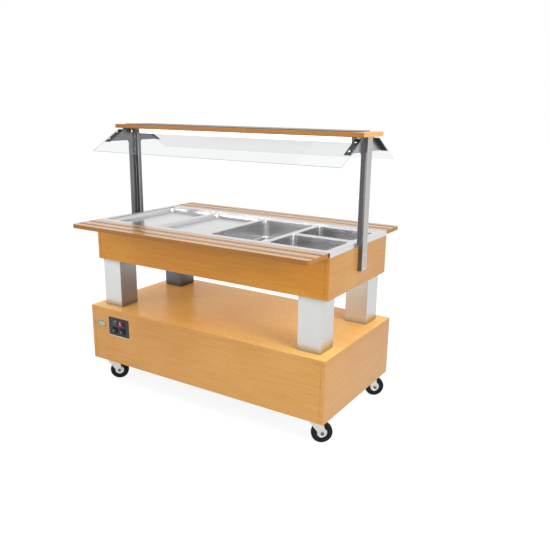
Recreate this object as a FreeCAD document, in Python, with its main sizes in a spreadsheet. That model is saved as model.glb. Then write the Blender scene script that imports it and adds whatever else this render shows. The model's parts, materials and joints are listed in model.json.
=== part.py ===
import FreeCAD, Part
import math
import os
import Sketcher
from FreeCAD import Placement, Rotation, Vector

# Mobile refrigerated salad bar: a panelled base on four casters, four square steel legs,
# a panelled tub with a steel well, two tray shelves that fold down, and a glazed canopy.
# Millimetres. X runs along the length, the front is at -Y, Z is up and the floor is Z = 0.

os.makedirs("parts", exist_ok=True)
doc = FreeCAD.newDocument("SaladBar")
sheet = doc.addObject("Spreadsheet::Sheet", "Sizes")

DRIVING = {
    # tub, well and steel rim
    "tub_length": 1392, "tub_depth": 612, "tub_height": 190, "rim_height": 22, "sheet_thick": 1.5,
    "rim_return": 12, "rim_seam": 0.1, "rim_wide_x": 30.5, "rim_wide_y": 39, "ledge_drop": 6, "ledge_wide_x": 15.5,
    "ledge_wide_y": 15, "well_depth": 168, "coil_gap": 12, "drain_bore": 24, "drain_drop": 14,
    "drain_cap": 6,
    # base cabinet
    "caster_height": 130, "base_height": 303, "base_past_x": 23, "base_past_y": 52,
    "board_thick": 20, "infill_thick": 18, "infill_set_back": 1,
    "vent_x": -100, "vent_long": 700, "vent_lift": 35, "vent_high": 222, "vent_lap": 16,
    "slot_long": 220, "slot_high": 8, "slot_pitch": 18, "slot_start": 25,
    # legs
    "leg_side": 120, "leg_wall": 2, "leg_height": 253, "leg_inset_x": 31, "leg_inset_y": 3,
    "leg_plate": 5, "leg_port": 70,
    # trays and pans
    "pan_gap": 7, "pan_wall": 1.2, "pan_lip": 11, "tray_deep": 20, "pan_deep": 100,
    "pan_corner": 28, "bar_width": 20, "bar_height": 12, "bar_rib": 5,
    # tray shelves and their hinges
    "shelf_end_gap": 5, "shelf_wide": 167, "shelf_gap": 4, "shelf_thick": 20, "shelf_corner": 14,
    "strip_width": 16, "strip_thick": 3, "strip_proud": 2, "strip_end": 6,
    "strip_outer": 119, "strip_inner": 50,
    "hinge_out": 16, "hinge_drop": 13, "hinge_pin": 8, "arm_wide": 14, "arm_tall": 22,
    "arm_short": 77, "arm_pitch": 560, "cheek_thick": 3, "cheek_radius": 11, "cheek_nose": 5,
    "console_wide": 50, "console_tall": 38,
    # posts, canopy, glass and lamp
    "post_width": 50, "post_deep": 22, "post_sheet": 2, "post_flange": 22, "post_drop": 114,
    "canopy_lift": 469, "canopy_past": 38, "canopy_depth": 208, "canopy_thick": 20,
    "plate_inset": 16, "plate_end_in": 60, "plate_thick": 3, "gusset_drop": 67,
    "glass_past": 26, "glass_thick": 5, "glass_low_y": 280, "glass_top_y": 88,
    "glass_fall": 110, "glass_start": 2, "support_wide": 35, "support_thick": 2, "support_reach": 125,
    "support_past": 25, "glass_screw": 12, "post_screw": 9, "rim_screw": 8,
    "lamp_length": 1274, "lamp_wide": 44, "lamp_tall": 28, "lamp_cap": 38,
    # casters
    "caster_in_x": 76, "caster_in_y": 61, "caster_turn": 38, "caster_trail": 35, "wheel_dia": 100,
    "wheel_wide": 32, "axle_dia": 10, "fork_gap": 36, "fork_sheet": 3,
    "crown_dia": 56, "crown_tall": 15, "kingpin_dia": 12, "plate_long": 100,
    "plate_short": 84, "mount_thick": 3, "pedal_pivot": 32, "pedal_reach": 50, "pedal_wide": 30,
    "pedal_pin": 4,
    # controls
    "panel_in": 199, "panel_drop": 94, "panel_wide": 145, "panel_high": 100, "panel_thick": 2,
    "dial_wide": 78, "dial_high": 37, "dial_lift": 22, "switch_low": 19, "switch_pitch": 56,
    "switch_wide": 34, "switch_high": 31, "rocker_wide": 28, "rocker_high": 24,
    "key_in": 33, "key_gap": 14, "key_size": 8, "key_fit": 0.3,
    "dial_deep": 58, "window_wide": 46, "window_high": 26, "window_in": 12,
    # cooling unit
    "pot_x": -330, "pot_y": 40, "pot_dia": 150, "pot_tall": 165, "coil_x": -40, "coil_y": 60,
    "coil_thick": 44, "coil_long": 240, "coil_high": 200, "fan_dia": 164, "fan_shaft": 8,
    "fan_pitch": 20, "pipe_dia": 10, "running_gap": 0.05, "bare_gap": 0.5,
    "foot_long": 190, "foot_wide": 140, "foot_lift": 9, "pad_side": 20, "shroud_deep": 42, "motor_side": 60,
    "motor_deep": 42, "fan_hub": 46, "fan_hub_deep": 20, "fin_pitch": 18, "line_step": 30, "line_past": 50,
    "suction_fall": 70, "liquid_fall": 230, "well_line": 60, "inlet_wide": 47, "inlet_deep": 24,
    "inlet_high": 29, "inlet_lip": 58, "inlet_lip_high": 38, "inlet_cup_wide": 28, "inlet_cup_high": 18,
}


class Size:
    """A length of the cart: its number, and the expression that gives it from the sheet."""

    def __init__(self, value, text):
        self.value = value
        self.text = text

    def __add__(self, other):
        return joined(self, "+", other)

    def __radd__(self, other):
        return joined(other, "+", self)

    def __sub__(self, other):
        return joined(self, "-", other)

    def __rsub__(self, other):
        return joined(other, "-", self)

    def __mul__(self, other):
        return joined(self, "*", other)

    def __rmul__(self, other):
        return joined(other, "*", self)

    def __truediv__(self, other):
        return joined(self, "/", other)

    def __neg__(self):
        return joined(0, "-", self)


def as_size(item):
    if isinstance(item, Size):
        return item
    return Size(float(item), repr(item) if item >= 0 else "(%r)" % item)


def joined(first, sign, second):
    a = as_size(first)
    b = as_size(second)
    if sign == "+":
        value = a.value + b.value
    elif sign == "-":
        value = a.value - b.value
    elif sign == "*":
        value = a.value * b.value
    else:
        value = a.value / b.value
    return Size(value, "(%s %s %s)" % (a.text, sign, b.text))


def root(size):
    return Size(math.sqrt(size.value), "sqrt(%s)" % size.text)


for row, (name, number) in enumerate(DRIVING.items(), start=1):
    sheet.set("A%d" % row, name)
    sheet.set("B%d" % row, str(number))
    sheet.setAlias("B%d" % row, name)
doc.recompute()
D = {name: Size(float(number), "Sizes.%s" % name) for name, number in DRIVING.items()}


# ------------------------------------------------------------------ building helpers
def bind(thing, **lengths):
    for prop, size in lengths.items():
        size = as_size(size)
        setattr(thing, prop, size.value)
        thing.setExpression(prop, size.text)


def put(thing, x, y, z):
    for axis, size in zip("xyz", (x, y, z)):
        size = as_size(size)
        thing.setExpression("Placement.Base." + axis, size.text)


def block(label, lengths, centre):
    """A box of three lengths, centred on x and y, standing on the third value of centre."""
    thing = doc.addObject("Part::Box", label)
    bind(thing, Length=lengths[0], Width=lengths[1], Height=lengths[2])
    put(thing, centre[0] - as_size(lengths[0]) / 2, centre[1] - as_size(lengths[1]) / 2, centre[2])
    return thing


TURNS = {"z": Rotation(), "x": Rotation(Vector(0, 1, 0), 90), "y": Rotation(Vector(1, 0, 0), -90)}


def rod(label, diameter, length, start, along="z"):
    """A cylinder that starts at a point and runs along +x, +y or +z."""
    thing = doc.addObject("Part::Cylinder", label)
    bind(thing, Radius=as_size(diameter) / 2, Height=length)
    thing.Placement = Placement(Vector(), TURNS[along])
    put(thing, *start)
    return thing


def hexagon(label, corners, length, start, along="z"):
    """A six-sided bolt head or nut, measured over its corners, from a point along +x, +y or +z."""
    thing = doc.addObject("Part::Prism", label)
    thing.Polygon = 6
    bind(thing, Circumradius=as_size(corners) / 2, Height=length)
    thing.Placement = Placement(Vector(), TURNS[along])
    put(thing, *start)
    return thing


def fused(label, *parts):
    thing = doc.addObject("Part::MultiFuse", label)
    thing.Shapes = list(parts)
    thing.Refine = True
    return thing


def cut(label, base, *tools):
    tool = tools[0] if len(tools) == 1 else fused(label + "_tools", *tools)
    thing = doc.addObject("Part::Cut", label)
    thing.Base = base
    thing.Tool = tool
    thing.Refine = True
    return thing


def group(label, *parts):
    """Alike pieces that share one node stay separate solids."""
    thing = doc.addObject("Part::Compound", label)
    thing.Links = list(parts)
    return thing


def eased(label, base, radius, wanted):
    """Rounds the edges for which wanted(edge) is true."""
    doc.recompute()
    size = as_size(radius).value
    thing = doc.addObject("Part::Fillet", label)
    thing.Base = base
    picked = [(i, size, size) for i, edge in enumerate(base.Shape.Edges, start=1) if wanted(edge)]
    thing.Edges = picked
    return thing


def upright(edge):
    return abs(edge.tangentAt(edge.FirstParameter).z) > 0.999 and len(edge.Vertexes) == 2


def body(label):
    thing = doc.addObject("PartDesign::Body", label)
    return thing


def sketch_on(owner, name, plane, offset):
    flat = owner.newObject("Sketcher::SketchObject", name)
    support = [item for item in owner.Origin.OriginFeatures if item.Role == plane + "_Plane"][0]
    flat.AttachmentSupport = [(support, "")]
    flat.MapMode = "FlatFace"
    offset = as_size(offset)
    flat.AttachmentOffset = Placement(Vector(0, 0, offset.value), Rotation())
    flat.setExpression("AttachmentOffset.Base.z", offset.text)
    return flat


def fix_point(flat, line, point):
    for kind, axis_line, size in (("DistanceX", -2, point[0]), ("DistanceY", -1, point[1])):
        size = as_size(size)
        if abs(size.value) < 1e-9:
            flat.addConstraint(Sketcher.Constraint("PointOnObject", line, 1, axis_line))
            continue
        number = flat.addConstraint(Sketcher.Constraint(kind, -1, 1, line, 1, size.value))
        flat.setExpression("Constraints[%d]" % number, size.text)


def polygon(flat, points):
    where = [Vector(as_size(x).value, as_size(y).value, 0) for x, y in points]
    first = len(flat.Geometry)
    for i, start in enumerate(where):
        flat.addGeometry(Part.LineSegment(start, where[(i + 1) % len(where)]), False)
    for i in range(len(where)):
        after = first + (i + 1) % len(where)
        flat.addConstraint(Sketcher.Constraint("Coincident", first + i, 2, after, 1))
    for i, point in enumerate(points):
        fix_point(flat, first + i, point)


def ring(flat, centre, diameter):
    at = Vector(as_size(centre[0]).value, as_size(centre[1]).value, 0)
    size = as_size(diameter) / 2
    line = flat.addGeometry(Part.Circle(at, Vector(0, 0, 1), size.value), False)
    number = flat.addConstraint(Sketcher.Constraint("Radius", line, size.value))
    flat.setExpression("Constraints[%d]" % number, size.text)
    for kind, axis_line, item in (("DistanceX", -2, centre[0]), ("DistanceY", -1, centre[1])):
        item = as_size(item)
        if abs(item.value) < 1e-9:
            flat.addConstraint(Sketcher.Constraint("PointOnObject", line, 3, axis_line))
            continue
        number = flat.addConstraint(Sketcher.Constraint(kind, -1, 1, line, 3, item.value))
        flat.setExpression("Constraints[%d]" % number, item.text)


def feature(owner, kind, name, flat, length, reverse=False):
    thing = owner.newObject("PartDesign::" + kind, name)
    thing.Profile = flat
    bind(thing, Length=length)
    thing.Reversed = reverse
    flat.Visibility = False
    return thing


def pad(owner, name, plane, points, start, thick, reverse=False):
    flat = sketch_on(owner, name + "_outline", plane, start)
    polygon(flat, points)
    return feature(owner, "Pad", name, flat, thick, reverse)


def pocket(owner, name, plane, points, start, thick, reverse=False):
    flat = sketch_on(owner, name + "_outline", plane, start)
    polygon(flat, points)
    return feature(owner, "Pocket", name, flat, thick, reverse)


def round_pad(owner, name, plane, centre, diameter, start, thick, reverse=False):
    flat = sketch_on(owner, name + "_circle", plane, start)
    ring(flat, centre, diameter)
    return feature(owner, "Pad", name, flat, thick, reverse)


def round_pocket(owner, name, plane, centre, diameter, start, thick, reverse=False):
    flat = sketch_on(owner, name + "_circle", plane, start)
    ring(flat, centre, diameter)
    return feature(owner, "Pocket", name, flat, thick, reverse)


def pipe(label, diameter, corners):
    """A round tube on a path with mitred corners. Returns one swept solid."""
    where = [Vector(*(as_size(item).value for item in corner)) for corner in corners]
    path = doc.addObject("Part::Polygon", label + "_path")
    path.Nodes = where
    path.Close = False
    heading = (where[1] - where[0]).normalize()
    circle = doc.addObject("Part::Circle", label + "_bore")
    bind(circle, Radius=as_size(diameter) / 2)
    circle.Placement = Placement(where[0], Rotation(Vector(0, 0, 1), heading))
    doc.recompute()
    swept = doc.addObject("Part::Sweep", label)
    swept.Sections = [circle]
    swept.Spine = (path, ["Edge%d" % (i + 1) for i in range(len(path.Shape.Edges))])
    swept.Solid = True
    swept.Frenet = False
    swept.Transition = "Right corner"
    return swept


# ------------------------------------------------------------------ shared levels
floor_z = D["caster_height"]
base_top_z = floor_z + D["base_height"]
tub_z = base_top_z + D["leg_height"]
rim_z = tub_z + D["tub_height"]
top_z = rim_z + D["rim_height"]
canopy_z = top_z + D["canopy_lift"]
board = D["board_thick"]
infill = D["infill_thick"]
set_back = D["infill_set_back"]
sheet_t = D["sheet_thick"]
tub_x = D["tub_length"] / 2
tub_y = D["tub_depth"] / 2
base_x = tub_x + D["base_past_x"]
base_y = tub_y + D["base_past_y"]
base_long = 2 * base_x
base_deep = 2 * base_y
leg_x = tub_x - D["leg_inset_x"] - D["leg_side"] / 2
leg_y = tub_y - D["leg_inset_y"] - D["leg_side"] / 2
ledge_long = D["tub_length"] - 2 * D["rim_wide_x"]
ledge_deep = D["tub_depth"] - 2 * D["rim_wide_y"]
well_long = ledge_long - 2 * D["ledge_wide_x"]
well_wide = ledge_deep - 2 * D["ledge_wide_y"]
ledge_z = top_z - D["ledge_drop"]
well_z = ledge_z - sheet_t - D["well_depth"]

# the lines and the drain come down inside the back left leg
port_x = -leg_x
lines_y = well_wide / 2 + sheet_t + D["bare_gap"] + D["pipe_dia"] / 2
liquid_x = port_x - 22
suction_x = port_x + 22
drain_y = leg_y - 20
drain_dia = D["drain_bore"] + 2 * sheet_t
drain_end = floor_z - D["drain_drop"]

# ------------------------------------------------------------------ base cabinet
panel_tall = D["base_height"] - board
infill_long = base_long - 2 * board
infill_y = base_y - set_back - infill / 2

top_blank = block("base_top_blank", (base_long, base_deep, board), (0, 0, base_top_z - board))
top_port = block("base_top_port", (D["leg_port"], D["leg_port"], board * 2),
                 (port_x, leg_y, base_top_z - board * 1.5))
cut("base_top_board", top_blank, top_port)
block("base_left_panel", (board, base_deep, panel_tall), (board / 2 - base_x, 0, floor_z))
block("base_right_panel", (board, base_deep, panel_tall), (base_x - board / 2, 0, floor_z))

front_blank = block("base_front_blank", (infill_long, infill, panel_tall), (0, -infill_y, floor_z))
panel_x = D["panel_in"] - base_x
panel_z = base_top_z - D["panel_drop"]
control_hole = block(
    "control_hole", (D["panel_wide"] - 24, infill * 2, D["panel_high"] - 16),
    (panel_x, -infill_y, panel_z - (D["panel_high"] - 16) / 2))
cut("base_front_panel", front_blank, control_hole)

# the back panel is open behind the cooling unit, and a louvred steel panel closes it
vent_z = floor_z + D["vent_lift"]
vent_lap = D["vent_lap"]
back_blank = block("base_back_blank", (infill_long, infill, panel_tall), (0, infill_y, floor_z))
service_hole = block(
    "service_hole", (D["vent_long"] - 2 * vent_lap, infill * 2, D["vent_high"] - 2 * vent_lap),
    (D["vent_x"], infill_y, vent_z + vent_lap))
cut("base_back_panel", back_blank, service_hole)

service = body("service_panel")
vent_low_x = D["vent_x"] - D["vent_long"] / 2
vent_high_x = D["vent_x"] + D["vent_long"] / 2
vent_top = vent_z + D["vent_high"]
pad(service, "plate", "XZ", [(vent_low_x, vent_z), (vent_high_x, vent_z), (vent_high_x, vent_top),
                             (vent_low_x, vent_top)], set_back - base_y - 2, 2)
slot_z = vent_z + D["slot_start"]
slot_top = slot_z + D["slot_high"]
for column, shift in enumerate((40, 300)):
    slot_x = vent_low_x + shift
    slot_end = slot_x + D["slot_long"]
    slots = sketch_on(service, "slot_outline_%d" % column, "XZ", -base_y - 5)
    polygon(slots, [(slot_x, slot_z), (slot_end, slot_z), (slot_end, slot_top), (slot_x, slot_top)])
    slot_cut = feature(service, "Pocket", "slot_%d" % column, slots, 12, True)
    row = service.newObject("PartDesign::LinearPattern", "slot_row_%d" % column)
    row.Originals = [slot_cut]
    row.Direction = (slots, ["V_Axis"])
    bind(row, Length=D["slot_pitch"] * 9)
    row.Occurrences = 10
    service.Tip = row
inlet_x = vent_high_x - 60
inlet_z = slot_z + 49
inlet_port = sketch_on(service, "inlet_outline", "XZ", -base_y - 5)
polygon(inlet_port, [(inlet_x - 24, inlet_z - 15), (inlet_x + 24, inlet_z - 15), (inlet_x + 24, inlet_z + 15),
                     (inlet_x - 24, inlet_z + 15)])
feature(service, "Pocket", "inlet_port", inlet_port, 12, True)

floor_blank = block(
    "base_floor_blank", (infill_long, base_deep - 2 * (set_back + infill), infill), (0, 0, floor_z))
floor_drain = rod("base_floor_drain", drain_dia + 1, infill * 2, (port_x, drain_y, floor_z - infill / 2))
cut("base_floor_board", floor_blank, floor_drain)

# ------------------------------------------------------------------ legs
legs = []
for name, side_x, side_y in (("fl", -1, -1), ("fr", 1, -1), ("bl", -1, 1), ("br", 1, 1)):
    inner = D["leg_side"] - 2 * D["leg_wall"]
    centre = (leg_x * side_x, leg_y * side_y)
    outer_box = block("leg_outer_" + name, (D["leg_side"], D["leg_side"], D["leg_height"]),
                      centre + (base_top_z,))
    inner_box = block("leg_inner_" + name, (inner, inner, D["leg_height"] - 2 * D["leg_plate"]),
                      centre + (base_top_z + D["leg_plate"],))
    port = block("leg_port_" + name, (D["leg_port"], D["leg_port"], D["leg_height"] + 20),
                 centre + (base_top_z - 10,))
    legs.append(cut("leg_" + name, outer_box, inner_box, port))
group("legs", *legs)

# ------------------------------------------------------------------ tub
tub_infill_long = D["tub_length"] - 2 * board
tub_infill_y = tub_y - set_back - infill / 2
tub_inner_y = tub_y - set_back - infill
block("tub_left_panel", (board, D["tub_depth"], D["tub_height"]), (board / 2 - tub_x, 0, tub_z))
block("tub_right_panel", (board, D["tub_depth"], D["tub_height"]), (tub_x - board / 2, 0, tub_z))
block("tub_front_panel", (tub_infill_long, infill, D["tub_height"]), (0, -tub_infill_y, tub_z))
block("tub_back_panel", (tub_infill_long, infill, D["tub_height"]), (0, tub_infill_y, tub_z))


def floor_port(label, bottom, height):
    """The hole that the two refrigerant lines and the drain share."""
    near = drain_y - drain_dia / 2 - D["bare_gap"]
    far = lines_y + D["pipe_dia"] / 2 + D["bare_gap"]
    wide = suction_x - liquid_x + D["pipe_dia"] + 2 * D["bare_gap"]
    return block(label, (wide, far - near, height), (port_x, (near + far) / 2, bottom))


tub_floor_blank = block("tub_floor_blank", (tub_infill_long, 2 * tub_inner_y, infill), (0, 0, tub_z))
cut("tub_floor_board", tub_floor_blank, floor_port("tub_floor_port", tub_z - 5, infill + 10))

liner_long = well_long + 2 * sheet_t
liner_wide = well_wide + 2 * sheet_t
foam_z = tub_z + infill
foam_blank = block("foam_blank", (tub_infill_long, 2 * tub_inner_y, rim_z - foam_z), (0, 0, foam_z))
foam_hollow = block(
    "foam_hollow", (liner_long + 2 * D["coil_gap"], liner_wide + 2 * D["coil_gap"], D["tub_height"]),
    (0, 0, well_z))
cut("insulation", foam_blank, foam_hollow, floor_port("foam_port", foam_z - 5, well_z - foam_z + 10))

liner_outer = block("liner_outer", (liner_long, liner_wide, D["well_depth"]), (0, 0, well_z))
liner_ledge = block(
    "liner_ledge", (ledge_long + 2 * sheet_t, ledge_deep + 2 * sheet_t, sheet_t), (0, 0, ledge_z - sheet_t))
drain_tube = rod("drain_tube", drain_dia, well_z - drain_end, (port_x, drain_y, drain_end))
liner_shell = fused("liner_shell", liner_outer, liner_ledge, drain_tube)
liner_inner = block("liner_inner", (well_long, well_wide, D["well_depth"] + 10), (0, 0, well_z + sheet_t))
drain_foot = drain_end + D["drain_cap"]
drain_bore = rod("drain_bore", D["drain_bore"], well_z - drain_foot + 20, (port_x, drain_y, drain_foot))
cut("well_liner", liner_shell, liner_inner, drain_bore)

# the steel rim: four folded rails round the well, each with a skirt, a bottom return and a step
# that stands on the liner's out-turned ledge
def rail(label, plane, inner, outer, start, length):
    """One folded rail. Its outline runs from the step over the top and down the skirt."""
    hand = 1 if as_size(outer).value > 0 else -1
    edge = sheet_t * hand
    owner = body(label)
    pad(owner, "fold", plane, [
        (inner, ledge_z), (inner + edge, ledge_z), (inner + edge, top_z - sheet_t),
        (outer - edge, top_z - sheet_t), (outer - edge, rim_z + sheet_t),
        (outer - D["rim_return"] * hand, rim_z + sheet_t), (outer - D["rim_return"] * hand, rim_z),
        (outer, rim_z), (outer, top_z), (inner, top_z)], start, length)
    return owner


long_end = ledge_long / 2 - D["rim_seam"]
rails = []
for tag, side in (("front", -1), ("back", 1)):
    rails.append(rail("rail_" + tag, "YZ", ledge_deep / 2 * side, tub_y * side, -long_end, 2 * long_end))
for tag, side in (("left", -1), ("right", 1)):
    rails.append(rail("rail_" + tag, "XZ", ledge_long / 2 * side, tub_x * side, -tub_y, 2 * tub_y))
group("well_rim", *rails)

# divider bars between the bays, with a rib that keeps the pans apart
bay_pitch = (ledge_long - 3) / 4
bars = []
for number, place in enumerate((-1, 0, 1)):
    centre_x = bay_pitch * place
    bar = block("bar_%d" % number, (D["bar_width"], well_wide - 1, D["bar_height"]),
                (centre_x, 0, ledge_z - D["bar_height"]))
    rib = block("bar_rib_%d" % number, (D["bar_rib"], ledge_deep - 4, sheet_t), (centre_x, 0, ledge_z))
    bars.append(fused("divider_%d" % number, bar, rib))
cross_start = bay_pitch + D["bar_width"] / 2
cross_end = well_long / 2 - 0.5
cross_bar = block("cross_bar", (cross_end - cross_start, 16, D["bar_height"]),
                  ((cross_start + cross_end) / 2, 0, ledge_z - D["bar_height"]))
cross_rib = block("cross_rib", (cross_end - cross_start + 12, 2, sheet_t),
                  ((cross_start + cross_end) / 2 + 6, 0, ledge_z))
bars.append(fused("divider_cross", cross_bar, cross_rib))
group("divider_bars", *bars)


pan_wide = bay_pitch - D["pan_gap"]
pan_long = ledge_deep - 4
half_long = (ledge_deep - 8) / 2


def pan(label, centre_x, centre_y, length, body_length, deep):
    """An open pan: a flat flange, a body with rounded corners, and the hollow inside."""
    flange = block(label + "_flange", (pan_wide, length, sheet_t), (centre_x, centre_y, ledge_z))
    body_wide = pan_wide - 2 * D["pan_lip"]
    outside = block(label + "_outside", (body_wide, body_length, deep), (centre_x, centre_y, ledge_z - deep))
    outside_soft = eased(label + "_outside_soft", outside, D["pan_corner"], upright)
    inner_wide = body_wide - 2 * D["pan_wall"]
    inner_long = body_length - 2 * D["pan_wall"]
    inside = block(label + "_inside", (inner_wide, inner_long, deep + sheet_t),
                   (centre_x, centre_y, ledge_z - deep + D["pan_wall"]))
    inside_soft = eased(label + "_inside_soft", inside, D["pan_corner"] - D["pan_wall"], upright)
    solid = fused(label + "_solid", flange, outside_soft)
    return cut(label, solid, inside_soft)


half_y = half_long / 2 + 1.5
body_long = well_wide - 4
half_body = half_long - 27
pan("tray_left", bay_pitch * -1.5, 0, pan_long, body_long, D["tray_deep"])
pan("tray_middle", bay_pitch * -0.5, 0, pan_long, body_long, D["tray_deep"])
pan("pan_full", bay_pitch * 0.5, 0, pan_long, body_long, D["pan_deep"])
pan("pan_half_front", bay_pitch * 1.5, -half_y, half_long, half_body, D["pan_deep"])
pan("pan_half_back", bay_pitch * 1.5, half_y, half_long, half_body, D["pan_deep"])

# ------------------------------------------------------------------ tray shelves
hinge_z = top_z - D["shelf_thick"] - D["hinge_drop"]
shelf_low = top_z - D["shelf_thick"]
shelf_in = tub_y + D["shelf_gap"]
shelf_wide = D["shelf_wide"]
shelf_long = D["tub_length"] - 2 * D["shelf_end_gap"]
strip_long = shelf_long - 2 * D["strip_end"]
hinge_y = tub_y + D["hinge_out"]
arm_end = shelf_in + shelf_wide - D["arm_short"]
consoles = []
for name, side in (("front", -1), ("back", 1)):
    blank = block("shelf_%s_blank" % name, (shelf_long, shelf_wide, D["shelf_thick"]),
                  (0, (shelf_in + shelf_wide / 2) * side, shelf_low))
    soft = eased("shelf_%s_soft" % name, blank, D["shelf_corner"],
                 lambda edge: upright(edge) and abs(edge.CenterOfMass.y) > arm_end.value)
    grooves = []
    pieces = []
    for which, distance in (("outer", D["strip_outer"]), ("inner", D["strip_inner"])):
        size = (strip_long, D["strip_width"], D["strip_thick"])
        low = top_z + D["strip_proud"] - D["strip_thick"]
        place = (0, (shelf_in + distance) * side, low)
        grooves.append(block("groove_%s_%s" % (name, which), size, place))
        pieces.append(block("strip_%s_%s" % (name, which), size, place))
    cut("shelf_%s_board" % name, soft, *grooves)
    for number, place in enumerate((-1, 0, 1)):
        tag = "%s_%d" % (name, number)
        centre_x = D["arm_pitch"] * place
        arm_start = hinge_y - D["arm_tall"] + D["hinge_drop"]
        arm = block("arm_bar_" + tag, (D["arm_wide"], arm_end - arm_start, D["arm_tall"]),
                    (centre_x, (arm_end + arm_start) * side / 2, shelf_low - D["arm_tall"]))
        bore = rod("arm_bore_" + tag, D["hinge_pin"] + 2 * D["running_gap"], D["arm_wide"] * 2,
                   (centre_x - D["arm_wide"], hinge_y * side, hinge_z), "x")
        pieces.append(cut("arm_" + tag, arm, bore))
        # the console on the tub: back plate, two cheeks and the pin
        console = body("console_" + tag)
        cheek_x = D["arm_wide"] / 2 + D["bare_gap"]
        cheek_t = D["cheek_thick"]
        half_wide = D["console_wide"] / 2
        plate_y = (tub_y - set_back) * side
        plate_top = hinge_z + D["cheek_radius"]
        plate_low = plate_top - D["console_tall"]
        pad(console, "plate", "XZ", [
            (centre_x - half_wide, plate_low), (centre_x + half_wide, plate_low),
            (centre_x + half_wide, plate_top), (centre_x - half_wide, plate_top)],
            -plate_y if side < 0 else -plate_y - cheek_t, cheek_t)
        nose = [
            (plate_y, plate_top), ((hinge_y + D["cheek_nose"]) * side, plate_top),
            ((hinge_y + D["cheek_radius"]) * side, hinge_z + D["cheek_nose"]),
            ((hinge_y + D["cheek_radius"]) * side, hinge_z - D["cheek_nose"]),
            ((hinge_y + D["cheek_nose"]) * side, hinge_z - D["cheek_radius"]),
            (plate_y, hinge_z - D["cheek_radius"])]
        pad(console, "cheek_left", "YZ", nose, centre_x - cheek_x - cheek_t, cheek_t)
        pad(console, "cheek_right", "YZ", nose, centre_x + cheek_x, cheek_t)
        round_pad(console, "pin", "YZ", (hinge_y * side, hinge_z), D["hinge_pin"],
                  centre_x - cheek_x - 1, 2 * cheek_x + 2)
        consoles.append(console)
    group("shelf_%s_steel" % name, *pieces)
group("hinge_consoles", *consoles)

# ------------------------------------------------------------------ posts and canopy
half_post = D["post_width"] / 2
flange_y = half_post + D["post_flange"]
skin = D["post_sheet"]
gusset_z = canopy_z - D["gusset_drop"]
flange_z = rim_z + 5
post_low = rim_z - D["post_drop"]

# the glass lies on a slope that falls glass_fall over glass_run
glass_run = D["glass_low_y"] - D["glass_top_y"]
slope = root(glass_run * glass_run + D["glass_fall"] * D["glass_fall"])
glass_top = canopy_z - D["glass_start"] - D["glass_thick"]


def on_slope(along, above, hand):
    """A point of the YZ plane, along the slope from its top and above the glass underside."""
    y = D["glass_top_y"] + glass_run * along / slope + D["glass_fall"] * above / slope
    z = glass_top - D["glass_fall"] * along / slope + glass_run * above / slope
    return (y * hand, z)


for label, side in (("post_left", -1), ("post_right", 1)):
    post = body(label)
    web_in = (D["post_deep"] - skin) * side
    web_out = D["post_deep"] * side
    at = tub_x * side
    # the channel, seen from above
    channel = [
        (at, -half_post), (at + web_out, -half_post), (at + web_out, half_post), (at, half_post),
        (at, half_post - skin), (at + web_in, half_post - skin), (at + web_in, skin - half_post),
        (at, skin - half_post)]
    pad(post, "channel", "XY", channel, post_low, canopy_z - post_low)
    foot = [(at, -half_post), (at + web_out, -half_post), (at + web_out, half_post), (at, half_post)]
    pad(post, "foot", "XY", foot, post_low, skin)
    # the two flanges, which widen into the gusset under the canopy
    for name, hand in (("front", -1), ("back", 1)):
        inner = (half_post - skin) * hand
        under = -D["support_thick"]
        edge_y, edge_z = on_slope(0, under, 1)
        corner_y = edge_y + (edge_z - gusset_z) * glass_run / D["glass_fall"]
        wing = [
            (inner, flange_z), (flange_y * hand, flange_z), (flange_y * hand, gusset_z - 10),
            ((flange_y + 4) * hand, gusset_z - 3), ((flange_y + 11) * hand, gusset_z),
            (corner_y * hand, gusset_z), (edge_y * hand, edge_z), (edge_y * hand, canopy_z),
            (inner, canopy_z)]
        pad(post, "wing_" + name, "YZ", wing, at if side > 0 else at - skin, skin)
    if side < 0:
        round_pocket(post, "cable_hole", "YZ", (0, canopy_z - 20), 14, at - D["post_deep"] - 5, 10, True)

canopy_x = D["tub_length"] + 2 * D["canopy_past"]
block("canopy_board", (canopy_x, D["canopy_depth"], D["canopy_thick"]), (0, 0, canopy_z))
block("canopy_top_plate", (canopy_x - 2 * D["plate_end_in"], D["canopy_depth"] - 2 * D["plate_inset"],
                           D["plate_thick"]), (0, 0, canopy_z + D["canopy_thick"]))

supports = []
screws = []
for name, hand in (("front", -1), ("back", 1)):
    pane = body("glass_" + name)
    corners = [on_slope(0, 0, hand), on_slope(slope, 0, hand), on_slope(slope, D["glass_thick"], hand),
               on_slope(0, D["glass_thick"], hand)]
    pad(pane, "pane", "YZ", corners, -(tub_x + D["glass_past"]), 2 * (tub_x + D["glass_past"]))
    for side, tag in ((-1, "left"), (1, "right")):
        support = body("support_%s_%s" % (name, tag))
        thick = D["support_thick"]
        lap = [on_slope(2, 0, hand), on_slope(D["support_reach"], 0, hand),
               on_slope(D["support_reach"], -thick, hand), on_slope(2, -thick, hand)]
        outer_x = tub_x + D["support_past"]
        inner_x = outer_x - D["support_wide"]
        pad(support, "lap", "YZ", lap, inner_x if side > 0 else -outer_x, D["support_wide"])
        supports.append(support)
        for number, along in enumerate((36, 104)):
            head = body("screw_%s_%s_%d" % (name, tag, number))
            half = D["glass_screw"] / 2
            face = [on_slope(along - half, D["glass_thick"], hand),
                    on_slope(along + half, D["glass_thick"], hand),
                    on_slope(along + half - 1, D["glass_thick"] + 2.5, hand),
                    on_slope(along + 1 - half, D["glass_thick"] + 2.5, hand)]
            middle = outer_x - D["support_wide"] / 2
            pad(head, "head", "YZ", face, (middle * side) - half, D["glass_screw"])
            screws.append(head)
group("glass_supports", *supports)
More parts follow.
